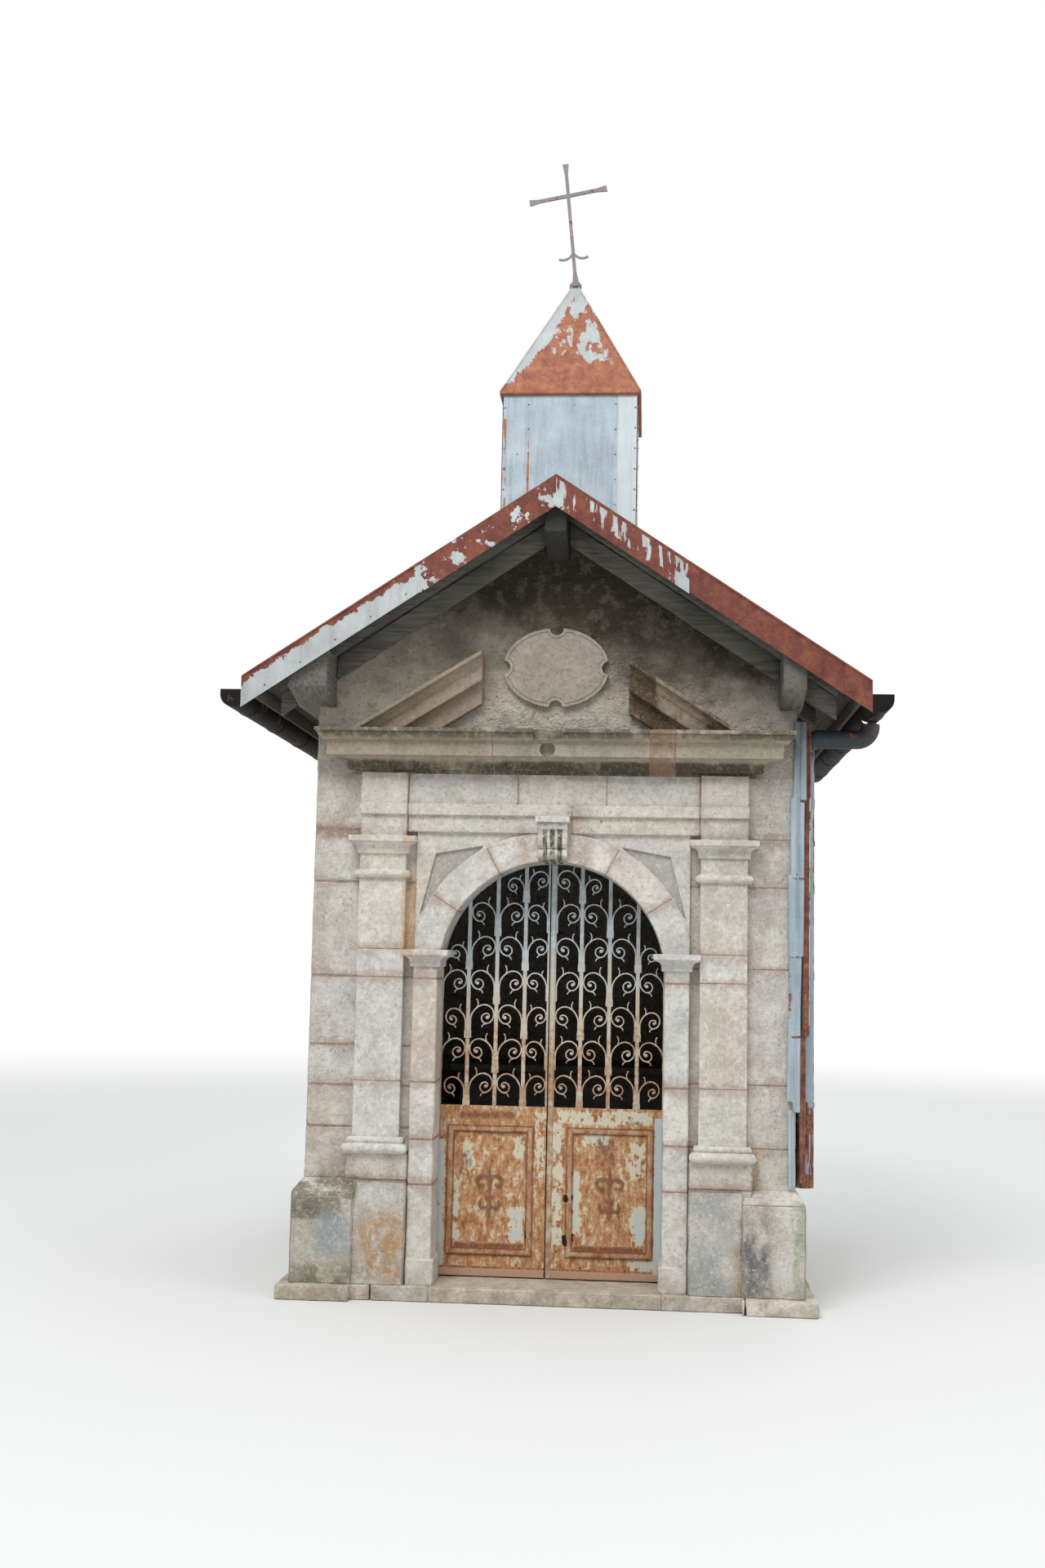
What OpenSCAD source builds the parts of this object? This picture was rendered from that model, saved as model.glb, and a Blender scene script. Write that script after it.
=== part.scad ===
// Small wayside chapel: masonry body with a classical front, boarded and metal-covered
// roof, square turret with a pyramid roof and cross, and a double wrought-iron gate.
// Millimetres, +Z up, front towards -Y. The origin is the middle of the base.

/* [Body] */
// Width of the masonry body at its corners
body_w = 2560; // [2400:20:2900]
// Depth of the masonry body, front to back
body_d = 2700; // [2400:50:3600]
// Thickness of the side and back walls
wall_t = 400; // [300:10:450]
// Height of the side walls above the ground
wall_h = 3100; // [2800:10:3400]
// Thickness of the dressed stone facing of the front
facing_t = 200; // [160:10:240]
// Thickness of the wall behind the facing
backing_t = 250; // [200:10:300]
// Height of the footing course and of the floor
footing_h = 75; // [60:5:90]
// How far the corner footing stones stand out beyond the plinth
footing_out = 60; // [20:5:80]
// Height at which the plinth starts to slope back
plinth_h = 540; // [480:10:560]
// Height of the plinth's slope
plinth_slope = 60; // [40:5:80]
// How far the plinth stands out at the sides and back
plinth_side = 45; // [30:5:60]
// How far the plinth stands out at the front
plinth_front = 110; // [100:5:140]

/* [Doorway] */
// Clear width of the doorway
door_w = 1200; // [1100:10:1240]
// Height of the wall field above the crown of the arch
crown_gap = 146; // [130:2:180]
// Width of the jambs
jamb_w = 125; // [110:5:130]
// Width of the arch ring
ring_w = 150; // [130:5:155]
// How far the jambs stand out of the wall
jamb_out = 50; // [30:5:60]
// Height of the block at the foot of each jamb
jamb_foot_h = 128; // [80:4:160]
// Height of the imposts' foot above the centre of the arch
impost_rise = 31; // [20:1:45]
// Height of the impost mouldings
impost_h = 85; // [70:5:90]
// How far the imposts stand out of the jambs
impost_out = 60; // [40:5:64]
// Width of the keystone
keystone_w = 150; // [120:5:170]
// How far the keystone's cap stands out of the wall
keystone_out = 130; // [110:5:140]
// How far the wall behind is cut back beside the jambs, as a rebate for the gate
rebate_w = 90; // [80:2:100]

/* [Pilasters] */
// Distance from the middle to the inner edge of a pilaster
pilaster_x = 783; // [780:1:800]
// Width of a pilaster
pilaster_w = 242; // [220:2:260]
// How far a pilaster stands out of the wall
pilaster_out = 50; // [40:5:60]
// Bottom of the pilaster's base moulding
base_z = 740; // [700:10:760]
// Height of the pilaster's base moulding
base_h = 80; // [60:5:100]
// Height of the capital
capital_h = 220; // [200:5:240]

/* [Entablature] */
// Height of the architrave
architrave_h = 145; // [135:5:160]
// Height of the frieze
frieze_h = 165; // [150:5:180]
// Height of the cornice
cornice_h = 220; // [200:5:240]
// How far the cornice's top lies below the top of the side walls
cornice_drop = 140; // [130:5:180]
// How far the cornice stands out at its top
cornice_out = 240; // [220:5:260]
// Distance from the middle to the upper end of a raking moulding
rake_x = 395; // [360:5:420]
// Height of a raking moulding's upper end above the cornice
rake_h = 430; // [400:10:440]
// Upright depth of a raking moulding
rake_d = 270; // [230:5:290]
// Width of the oval plaque
plaque_w = 566; // [500:2:600]
// Height of the oval plaque
plaque_h = 430; // [400:2:460]
// Height of the middle of the plaque above the cornice
plaque_rise = 360; // [340:5:370]

/* [Roof] */
// Height of the wall plates at the outer face of the walls
plate_h = 211; // [190:1:230]
// Slope of the roof in degrees
pitch = 33.5; // [33:0.1:34]
// How far the roof boards reach past the side walls
eaves_out = 340; // [320:5:360]
// How far the roof boards reach past the front and back walls
overhang = 340; // [310:5:360]
// Thickness of the roof sheets
sheet_t = 4; // [3:0.5:5]
// Thickness of the roof boards
board_t = 25; // [20:1:28]
// Depth of the rafters
rafter_h = 80; // [70:2:90]
// Width of the rafters
rafter_w = 60; // [50:2:80]
// Number of rafters on each side
rafter_n = 6; // [4:1:7]
// How far the beams reach past the walls
beam_out = 300; // [240:10:305]
// Width of the ridge beam
ridge_beam_w = 120; // [100:5:140]
// Height of the ridge beam
ridge_beam_h = 246; // [220:2:270]
// Width of the right wall plate
right_plate_w = 120; // [100:5:130]
// Width of the left wall plate
left_plate_w = 210; // [160:5:220]
// Depth of the flashing that hangs at the front and back edges of the roof
verge_d = 135; // [120:5:140]
// Outer radius of the gutters
gutter_r = 65; // [60:1:68]
// Height of the gutters' straight sides above the half-round
gutter_rise = 27; // [15:1:35]
// How far the gutters' rims hang below the edge of the sheets
gutter_drop = 66; // [60:1:80]
// Radius of the downpipe
pipe_r = 50; // [40:1:52]
// Lower end of the downpipe
pipe_end_z = 610; // [605:5:700]

/* [Turret] */
// Width of the square turret
turret_w = 814; // [780:2:840]
// Height of the turret walls above the ridge
turret_h = 878; // [800:2:940]
// Thickness of the turret walls
turret_t = 27; // [20:1:35]
// Height of the pyramid roof
spire_h = 842; // [800:2:880]
// Height of the cross above its cap
cross_h = 785; // [700:5:850]
// Length of the cross's arms from tip to tip
cross_w = 502; // [460:2:540]
// Lean of the cross in degrees
cross_lean = 5.7; // [0:0.1:8]

/* [Gate] */
// Gap between the gate and the threshold
gate_gap = 8; // [6:1:12]
// Height of the top of the sheet panels
panel_top_z = 975; // [950:5:985]
// Gap between the two leaves
leaf_gap = 7; // [7:0.5:10]
// Width of the meeting bar that carries the cover strip
meeting_w = 30; // [26:2:36]
// Width of the upright bars
bar_w = 20; // [16:1:22]
// Depth of the bars and scrolls, front to back
bar_d = 16; // [12:1:18]
// Thickness of the scrolls' flat iron
flat_t = 7; // [6:0.5:8]
// Distance between two scroll rows
row_h = 183.5; // [180:0.5:188]

/* [Altar] */
// Width of the altar's top
altar_w = 1440; // [1200:20:1600]
// Height of the altar
altar_h = 1100; // [950:10:1150]
// Depth of the altar's top
altar_d = 600; // [500:10:700]

/* [Hidden] */
$fn = 48;

// Driving lines of the plan, with the front of the wall at y = 0
wall_x = body_w / 2;
room_x = wall_x - wall_t;
front_t = facing_t + backing_t;
room_back_y = body_d - wall_t;
door_x = door_w / 2;
jamb_x = door_x + jamb_w;
plinth_x = wall_x + plinth_side;
plinth_top_z = plinth_h + plinth_slope;
plinth_inner_x = pilaster_x + pilaster_w - 20;
ring_r = door_x + ring_w;
embrasure_x = door_x + rebate_w;

// Driving heights of the front, from the top of the walls down
cornice_top_z = wall_h - cornice_drop;
cornice_z = cornice_top_z - cornice_h;
frieze_z = cornice_z - frieze_h;
field_top_z = frieze_z - architrave_h;
capital_top_z = field_top_z - 30;
capital_z = capital_top_z - capital_h;
crown_z = field_top_z - crown_gap;
arch_z = crown_z - door_x;
impost_z = arch_z + impost_rise;
impost_top_z = impost_z + impost_h;
plaque_z = cornice_top_z + plaque_rise;

// Overlap of shapes that are joined or cut, and the gap between sloping pieces
over = 1;
fit = 0.2;

// Steps of the front: how far each part stands out of the wall
field_out = 20;
ring_out = 30;
architrave_out = 40;
fillet_out = 60;
corona_out = cornice_out * 0.75;
corona_lip = 6;
pedestal_out = plinth_front - 15;
rake_out = 150;
left_rake_slope = 31.7;
right_rake_slope = 33.1;
rake_sunk = 45;
foot_out = 15;
plaque_bite_r = 38;
pilaster_end_x = pilaster_x + pilaster_w;
keystone_foot_z = crown_z - 20;
keystone_top_z = frieze_z - 65;
keystone_cap_h = 25;
keystone_cap_side = 12;

// Roof lines: drops are measured square to the slope, down from the top of the sheets
slope = tan(pitch);
board_drop = sheet_t + fit;
rafter_drop = board_drop + board_t + fit;
beam_drop = rafter_drop + rafter_h + fit;
ridge_z = wall_h + plate_h + wall_x * slope + beam_drop / cos(pitch);
ridge_beam_z = ridge_z - beam_drop / cos(pitch) - ridge_beam_h;
eaves_x = wall_x + eaves_out;
rafter_run = eaves_x - 130;
rafter_first_y = -75;
rafter_gap = 50;
gable_board_t = 30;
gable_board_h = 105;
gable_board_drop = beam_drop;
plate_x = wall_x - 90;
ridge_beam_cut = 83;
plate_cut = 64;
sheet_run = eaves_x + 15;
lap_t = 3;
lap_x = 700;
lap_step = 6;
verge_flange = 100;
cap_run = 130;
function roof_z(x, drop = 0) = ridge_z - abs(x) * slope - drop / cos(pitch);

// Gutter and downpipe lines
gutter_x = sheet_run + gutter_r - 20;
gutter_rim_z = round(roof_z(sheet_run) - gutter_drop);
gutter_z = gutter_rim_z - gutter_rise;
gutter_t = 3;
gutter_y0 = -overhang;
gutter_y1 = body_d + overhang;
fascia_t = 22;
fascia_x = gutter_x - gutter_r - gutter_t;
fascia_z = gutter_rim_z - 20;
hook_w = 25;
hook_n = 5;
pipe_t = 2;
pipe_y = 100;
pipe_x = wall_x + pipe_r + 5;
neck_r = pipe_r + 20;
outlet_z = gutter_z - gutter_r - gutter_t;
outlet_h = 12;
outlet_r = pipe_r - pipe_t - 3;
pipe_top_z = outlet_z - outlet_h - 2 * neck_r;
sleeve_h = 45;
sleeve_t = 2;
clip_h = 25;
clip_t = 4;
clip_arm_w = 16;

// Turret lines
turret_x = turret_w / 2;
turret_y = body_d / 2;
turret_z = ridge_z + turret_h;
spire_x = turret_x + 18;
spire_edge = 18;
spire_flat = 20;
spire_top_z = turret_z + spire_h;
cap_r = 38;
cap_h = 45;
iron_w = 22;
iron_d = 12;
arm_z = cross_h * 0.73;
arm_tilt = 5.1;
horn_r = 62;
horn_w = 12;
horn_z = 150;

// Gate lines: the leaves close in the rebate behind the facing
leaf_out_x = door_x + 25;
sheet_thick = 3;
sheet_y = facing_t + 10;
bar_y = sheet_y + sheet_thick;
gate_z = footing_h + gate_gap;
hinge_x = door_x + 40;
hinge_y = bar_y + bar_d + 10;
pin_r = 8;
pin_fit = 0.25;
eye_r = 14;
eye_h = 40;
hinge_zs = [gate_z + 177, arch_z - 214];
stile_w = 30;
right_leaf_x = -meeting_w / 2;
left_leaf_x = right_leaf_x - leaf_gap;
left_meeting_w = 10;
bar_pitch = (leaf_out_x - stile_w + 15) / 4;
lintel_z = arch_z + leaf_out_x + 16;
arch_bar_w = stile_w;
arch_r = leaf_out_x - arch_bar_w;
scroll_start = 14;
taper = 0.4;
tick_w = 5;
strap_t = 6;
strip_r = 14;
strip_sink = 6;
strip_top_z = crown_z - 12;
rail_h = 30;
foot_rail_h = 35;

// Shifts the plan so that the middle of the body is the origin
module placed() {
    translate([0, -body_d / 2, 0]) children();
}

// Mirrors its children to the left side of the building
module on_left() {
    mirror([1, 0, 0]) children();
}

module on_both() {
    children();
    on_left() children();
}

// Extrudes an outline drawn in x and z from y0 to y1
module along_y(y0, y1) {
    translate([0, y1, 0]) rotate([90, 0, 0]) linear_extrude(y1 - y0) children();
}

// Extrudes an outline drawn in y and z from x0 to x1
module along_x(x0, x1) {
    translate([x0, 0, 0]) rotate([90, 0, 90]) linear_extrude(x1 - x0) children();
}

module block(x0, x1, y0, y1, z0, z1) {
    translate([x0, y0, z0]) cube([x1 - x0, y1 - y0, z1 - z0]);
}

// Points of an arc in degrees, which may run either way
function arc(cx, cy, r, a0, a1, steps = 6) =
    [for (i = [0:steps]) let (a = a0 + (a1 - a0) * i / steps) [cx + r * cos(a), cy + r * sin(a)]];

// A moulding that returns on both sides and the front of a block. The profile is a list of
// [projection, height] points from bottom to top, and the block stands from y_front back.
module moulded(x0, x1, y_front, y_back, profile) {
    n = len(profile);
    reach = max([for (p = profile) p[0]]) + over;
    intersection() {
        along_y(y_front - reach, y_back) polygon(concat(
            [for (i = [0:n - 1]) [x1 + profile[i][0], profile[i][1]]],
            [for (i = [0:n - 1]) [x0 - profile[n - 1 - i][0], profile[n - 1 - i][1]]]
        ));
        along_x(x0 - reach, x1 + reach) polygon(concat(
            [for (i = [0:n - 1]) [y_front - profile[i][0], profile[i][1]]],
            [[y_back, profile[n - 1][1]], [y_back, profile[0][1]]]
        ));
    }
}

// Stepped and hollowed profile used by the cornice: bed mould, corona and cyma
function cornice_profile() = let (
    h = cornice_h,
    bed = cornice_out / 3,
    corona = corona_out,
    z = cornice_z
) concat(
    [[bed * 0.6, z], [bed * 0.6, z + h * 0.1], [bed, z + h * 0.1], [bed, z + h * 0.18]],
    arc(bed + h * 0.2, z + h * 0.18, h * 0.2, 180, 90, 5),
    [[corona, z + h * 0.38], [corona, z + h * 0.7], [corona + corona_lip, z + h * 0.7]],
    [[corona + corona_lip, z + h * 0.74]],
    arc(corona + corona_lip, z + h * 0.74 + h * 0.19, h * 0.19, 270, 360, 5),
    [[cornice_out, z + h * 0.93], [cornice_out, cornice_top_z]]
);

// Hollow under a slab, used by the imposts, capitals and the altar
function slab_profile(z, h, out) = concat(
    [[out * 0.25, z], [out * 0.25, z + h * 0.22]],
    arc(out * 0.25 + h * 0.4, z + h * 0.22, h * 0.4, 180, 90, 5),
    [[out * 0.9, z + h * 0.62], [out * 0.9, z + h * 0.7], [out, z + h * 0.7], [out, z + h]]
);

module footing() {
    corner_y = -plinth_front - footing_out;
    outer_x = plinth_x + footing_out;
    recess_y = -plinth_front;
    color("darkgray") placed() linear_extrude(footing_h) difference() {
        polygon([
            [-outer_x, corner_y], [-plinth_inner_x, corner_y], [-plinth_inner_x, recess_y],
            [plinth_inner_x, recess_y], [plinth_inner_x, corner_y], [outer_x, corner_y],
            [outer_x, body_d + plinth_side + footing_out],
            [-outer_x, body_d + plinth_side + footing_out]
        ]);
        translate([-room_x, front_t]) square([2 * room_x, room_back_y - front_t]);
        translate([-door_x, recess_y - over]) square([door_w, front_t - recess_y + 2]);
    }
}

module threshold() {
    color("lightgray") placed() block(-door_x, door_x, -plinth_front, front_t, 0, footing_h);
}

module floor_slab() {
    color("gray") placed() block(-room_x, room_x, front_t, room_back_y, 0, footing_h);
}

// Plinth course under a side wall, with its larger block at the front corner
module side_plinth() {
    difference() {
        moulded(
            -wall_x, wall_x, 0, body_d + plinth_side,
            [[plinth_side, footing_h], [plinth_side, plinth_h], [0, plinth_top_z]]
        );
        block(
            -plinth_x - over, room_x, -plinth_front, body_d + plinth_side + over,
            0, plinth_top_z + over
        );
        block(room_x - over, plinth_x + over, -plinth_side - over, 0, 0, plinth_top_z + over);
        back_cut();
    }
    intersection() {
        along_y(-plinth_front, 0) polygon([
            [plinth_inner_x, footing_h], [plinth_x, footing_h], [plinth_x, plinth_h],
            [wall_x, plinth_top_z], [plinth_inner_x, plinth_top_z]
        ]);
        along_x(plinth_inner_x, plinth_x) polygon([
            [-plinth_front, footing_h], [0, footing_h], [0, plinth_top_z], [-plinth_front, plinth_h]
        ]);
    }
}

// Slopes the back end of the side plinth
module back_cut() {
    along_x(room_x - over, plinth_x + over) polygon([
        [body_d, plinth_top_z], [body_d + plinth_side, plinth_h],
        [body_d + plinth_side + over, plinth_h], [body_d + plinth_side + over, plinth_top_z + over],
        [body_d, plinth_top_z + over]
    ]);
}

module right_plinth() {
    color("lightgray") placed() side_plinth();
}

module left_plinth() {
    color("lightgray") placed() on_left() side_plinth();
}

module back_plinth() {
    color("lightgray") placed() along_x(-room_x, room_x) polygon([
        [room_back_y, footing_h], [body_d + plinth_side, footing_h],
        [body_d + plinth_side, plinth_h], [body_d, plinth_top_z], [room_back_y, plinth_top_z]
    ]);
}

module side_wall() {
    block(room_x, wall_x, front_t, room_back_y, plinth_top_z, wall_h);
}

module right_wall() {
    color("bisque") placed() side_wall();
}

module left_wall() {
    color("bisque") placed() on_left() side_wall();
}

// Outline of the beams that run through both gables
module ridge_beam_outline() {
    half = ridge_beam_w / 2;
    polygon([
        [-half, ridge_beam_z], [half, ridge_beam_z], [half, roof_z(half, beam_drop)],
        [0, roof_z(0, beam_drop)], [-half, roof_z(half, beam_drop)]
    ]);
}

module plate_outline(w) {
    inner = plate_x;
    polygon([
        [inner, wall_h], [inner + w, wall_h], [inner + w, roof_z(inner + w, beam_drop)],
        [inner, roof_z(inner, beam_drop)]
    ]);
}

module beams_outline() {
    ridge_beam_outline();
    plate_outline(right_plate_w);
    on_left() plate_outline(left_plate_w);
}

// Outline of a gable from the given height up to the underside of the boards
module gable_outline(z0) {
    difference() {
        polygon([
            [-wall_x, z0], [wall_x, z0], [wall_x, roof_z(wall_x, rafter_drop)],
            [0, roof_z(0, rafter_drop)], [-wall_x, roof_z(wall_x, rafter_drop)]
        ]);
        beams_outline();
    }
}

module back_wall() {
    color("bisque") placed() along_y(room_back_y, body_d) gable_outline(plinth_top_z);
}

module front_gable() {
    color("tan") placed() along_y(0, front_t) gable_outline(cornice_z);
}

// Wall beside the doorway: dressed facing in front, and the wall behind cut back as a rebate
module front_pier() {
    block(jamb_x, room_x, 0, facing_t, footing_h, plinth_top_z);
    block(embrasure_x, room_x, facing_t, front_t, footing_h, plinth_top_z);
    block(jamb_x, wall_x, 0, facing_t, plinth_top_z, cornice_z);
    block(embrasure_x, wall_x, facing_t, front_t, plinth_top_z, cornice_z);
}

module right_front_pier() {
    color("linen") placed() front_pier();
}

module left_front_pier() {
    color("linen") placed() on_left() front_pier();
}

module wall_over_door() {
    color("linen") placed() union() {
        block(-jamb_x, jamb_x, 0, facing_t, field_top_z, cornice_z);
        block(-embrasure_x, embrasure_x, facing_t, front_t, lintel_z, cornice_z);
    }
}

module jamb() {
    block(door_x, jamb_x, -jamb_out, facing_t, footing_h, impost_z);
    block(
        door_x - foot_out, jamb_x, -jamb_out - foot_out, facing_t,
        footing_h, footing_h + jamb_foot_h
    );
}

module jambs() {
    color("ivory") placed() on_both() jamb();
}

module imposts() {
    side_x = min(jamb_x + impost_out, pilaster_x - over);
    color("ivory") placed() on_both() difference() {
        moulded(
            door_x, jamb_x, -jamb_out, facing_t, slab_profile(impost_z, impost_h, impost_out)
        );
        block(
            jamb_x, jamb_x + impost_out + over, 0, facing_t + over,
            impost_z - over, impost_top_z + over
        );
        block(
            side_x, side_x + impost_out, -jamb_out - impost_out - over, over,
            impost_z - over, impost_top_z + over
        );
    }
}

module arch_ring() {
    half = keystone_w / 2;
    color("ivory") placed() along_y(-ring_out, facing_t) difference() {
        intersection() {
            translate([0, arch_z]) circle(r = ring_r, $fn = 96);
            translate([-jamb_x, impost_top_z])
                square([2 * jamb_x, field_top_z - impost_top_z]);
        }
        translate([0, arch_z]) circle(r = door_x, $fn = 96);
        translate([-half, keystone_foot_z]) square([keystone_w, ring_r]);
    }
}

// Wall field round the arch with its sunk three-cornered panels, which follow the ring
module spandrels() {
    margin = 6;
    tip_r = ring_r + 18;
    tip_angles = [62, 22.5];
    side_margin = 100;
    top_margin = 115;
    sunk = 15;
    color("linen") placed() on_both() difference() {
        along_y(-field_out, facing_t) difference() {
            translate([keystone_w / 2, impost_top_z])
                square([jamb_x - keystone_w / 2, field_top_z - impost_top_z]);
            translate([0, arch_z]) circle(r = ring_r, $fn = 96);
        }
        along_y(-field_out - over, sunk - field_out) translate([0, arch_z]) difference() {
            polygon(concat(
                [for (a = tip_angles) [round(tip_r * cos(a)), round(tip_r * sin(a))]],
                [[jamb_x - side_margin, field_top_z - arch_z - top_margin]]
            ));
            circle(r = ring_r + margin, $fn = 96);
        }
    }
}

// Console-shaped keystone with a cap and three flutes
module keystone() {
    half = keystone_w / 2;
    body_top_z = keystone_top_z - keystone_cap_h;
    body_out = keystone_out - 20;
    roll_z = crown_z + 8;
    foot_r = 27;
    neck_out = 30;
    top_r = 25;
    lean = 15;
    flute_r = half * 0.16;
    flute_gap = half * 0.52;
    flute_in = 2;
    flute_z = crown_z - 10;
    flute_top_z = body_top_z - 50;
    color("white") placed() difference() {
        union() {
            along_y(-ring_out, facing_t) difference() {
                translate([-half, keystone_foot_z])
                    square([keystone_w, field_top_z - keystone_foot_z]);
                translate([0, arch_z]) circle(r = door_x, $fn = 96);
            }
            along_x(-half, half) polygon(concat(
                [[-ring_out, roll_z]],
                arc(-ring_out - foot_r, roll_z + foot_r, foot_r, 270, 90, 8),
                arc(-ring_out - neck_out, roll_z + 3.4 * foot_r, 1.4 * foot_r, 270, 180, 5),
                [[-body_out + lean, body_top_z - 2 * top_r]],
                arc(-body_out + top_r, body_top_z - top_r, top_r, 200, 90, 6),
                [[-ring_out, body_top_z]]
            ));
            block(-half, half, -ring_out - over, 0, field_top_z - over, body_top_z);
            block(
                -half - keystone_cap_side, half + keystone_cap_side,
                -keystone_out, 0, body_top_z, keystone_top_z
            );
        }
        for (i = [-1:1])
            translate([i * flute_gap, -body_out + flute_in, flute_z])
                cylinder(r = flute_r, h = flute_top_z - flute_z, $fn = 24);
    }
}

module keystone_seat() {
    half = keystone_w / 2;
    block(-half, half, -keystone_out - over, over, field_top_z - over, keystone_top_z - keystone_cap_h);
    block(
        -half - keystone_cap_side, half + keystone_cap_side, -keystone_out - over, over,
        keystone_top_z - keystone_cap_h, keystone_top_z
    );
}

module pedestals() {
    neck_out = pilaster_out + 12;
    color("lightgray") placed() on_both() union() {
        block(jamb_x + 10, plinth_inner_x, -pedestal_out, 0, footing_h, plinth_top_z);
        block(jamb_x + 10, pilaster_end_x + 30, -neck_out, 0, plinth_top_z, base_z);
    }
}

// Base moulding and shaft
module pilasters() {
    roll = base_h * 0.3;
    color("ivory") placed() on_both() union() {
        moulded(
            pilaster_x, pilaster_end_x, -pilaster_out, 0,
            concat(
                [[0, base_z], [roll, base_z]],
                arc(roll, base_z + roll, roll, 270, 450, 8),
                [[roll * 0.8, base_z + 2 * roll + 4]],
                arc(roll * 0.5, base_z + 2 * roll + 4 + roll * 0.6, roll * 0.6, 300, 420, 5),
                [[0, base_z + base_h]]
            )
        );
        block(
            pilaster_x, pilaster_end_x, -pilaster_out, 0,
            base_z + base_h, capital_z
        );
    }
}

module capitals() {
    neck_top_z = capital_top_z - 90;
    ring_h = 38;
    color("ivory") placed() on_both() moulded(
        pilaster_x, pilaster_end_x, -pilaster_out, 0,
        concat(
            [[6, capital_z]],
            arc(8, capital_z + ring_h / 2, ring_h / 2, 270, 450, 8),
            [[0, capital_z + ring_h + 6], [0, neck_top_z]],
            slab_profile(neck_top_z, capital_top_z - neck_top_z, 56)
        )
    );
}

// Architrave, which steps forward over the pilasters
module architrave() {
    fillet_z = frieze_z - 55;
    color("linen") placed() difference() {
        union() {
            block(-pilaster_x, pilaster_x, -architrave_out, 0, field_top_z, fillet_z);
            block(-pilaster_x, pilaster_x, -fillet_out, 0, fillet_z, frieze_z);
            on_both() {
                block(
                    pilaster_x, pilaster_end_x, -pilaster_out - 10, 0,
                    capital_top_z, fillet_z
                );
                block(
                    pilaster_x - 5, pilaster_end_x + 5, -pilaster_out - 30, 0,
                    fillet_z, frieze_z
                );
            }
        }
        keystone_seat();
    }
}

module frieze() {
    color("linen") placed() union() {
        block(-pilaster_x, pilaster_x, -architrave_out, 0, frieze_z, cornice_z);
        on_both() block(
            pilaster_x, pilaster_end_x, -pilaster_out - 12, 0, frieze_z, cornice_z
        );
    }
}

// Cornice with its broken top edge and the notch in its face
module cornice() {
    core_x = pilaster_end_x - 5;
    notch_r = 42;
    notch_x = -30;
    notch_z = cornice_z + 120;
    break_x0 = -105;
    break_x1 = 45;
    break_h = 55;
    break_in = 5;
    color("ivory") placed() difference() {
        moulded(-core_x, core_x, 0, 0, cornice_profile());
        translate([notch_x, -corona_out - over, notch_z])
            rotate([-90, 0, 0]) cylinder(r = notch_r, h = notch_r);
        block(
            break_x0, break_x1, -cornice_out - over, -corona_out - break_in,
            cornice_top_z - break_h, cornice_top_z + over
        );
    }
}

// One sloping moulding of the broken pediment. The right one has sunk, and lies steeper
module rake(angle, top_z) {
    lip_h = 18;
    hollow_r = 37;
    face_z = -62;
    bed_z = -128;
    face_out = rake_out * 0.62;
    bed_out = rake_out * 0.3;
    profile = concat(
        [[0, 0], [-rake_out, 0], [-rake_out, -lip_h]],
        arc(-rake_out + 8, -lip_h - hollow_r, hollow_r, 90, 0, 5),
        [[-face_out, face_z], [-face_out, bed_z], [-bed_out, bed_z]],
        [[-bed_out, -rake_d * cos(angle)], [0, -rake_d * cos(angle)]]
    );
    length = (top_z - cornice_top_z) / sin(angle) + rake_d;
    intersection() {
        translate([rake_x, 0, top_z]) rotate([0, angle, 0])
            along_x(-rake_d, length) polygon(profile);
        block(rake_x, wall_x, -rake_out - over, over, cornice_top_z, top_z);
    }
}

module raking_mouldings() {
    top_z = cornice_top_z + rake_h;
    color("tan") placed() {
        on_left() rake(left_rake_slope, top_z);
        rake(right_rake_slope, top_z - rake_sunk);
    }
}

function ellipse_points(rx, ry, steps = 72) =
    [for (i = [0:steps - 1]) let (a = 360 * i / steps) [rx * cos(a), ry * sin(a)]];

// Oval plate with a round bite on each side, grown or shrunk by an inset
module plaque_outline(inset) {
    bite_r = plaque_bite_r + inset;
    rx = plaque_w / 2;
    ry = plaque_h / 2;
    difference() {
        polygon(ellipse_points(rx - inset, ry - inset));
        for (p = [[rx, 0], [-rx, 0], [0, ry], [0, -ry]]) translate(p) circle(r = bite_r);
    }
}

module plaque() {
    thick = 32;
    line_inset = 14;
    line_w = 6;
    line_depth = 4;
    color("wheat") placed() translate([0, 0, plaque_z]) difference() {
        along_y(-thick, 0) plaque_outline(0);
        along_y(-thick - over, line_depth - thick) difference() {
            plaque_outline(line_inset);
            plaque_outline(line_inset + line_w);
        }
    }
}

// A beam through both gables whose ends are cut away below
module long_beam(z_bottom, cut_h) {
    y0 = -beam_out;
    y1 = body_d + beam_out;
    intersection() {
        along_y(y0, y1) children();
        along_x(-2 * wall_x, 2 * wall_x) polygon([
            [0, z_bottom], [y0, z_bottom + cut_h], [y0, ridge_z], [y1, ridge_z],
            [y1, z_bottom + cut_h], [body_d, z_bottom]
        ]);
    }
}

module ridge_beam() {
    color("dimgray") placed() long_beam(ridge_beam_z, ridge_beam_cut) ridge_beam_outline();
}

module wall_plates() {
    color("dimgray") placed() union() {
        long_beam(wall_h, plate_cut) plate_outline(right_plate_w);
        long_beam(wall_h, plate_cut) on_left() plate_outline(left_plate_w);
    }
}

// A slab that follows the right slope between two drops
module slope_slab(x0, x1, drop0, drop1, y0, y1) {
    along_y(y0, y1) polygon([
        [x0, roof_z(x0, drop0)], [x1, roof_z(x1, drop0)],
        [x1, roof_z(x1, drop1)], [x0, roof_z(x0, drop1)]
    ]);
}

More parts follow.
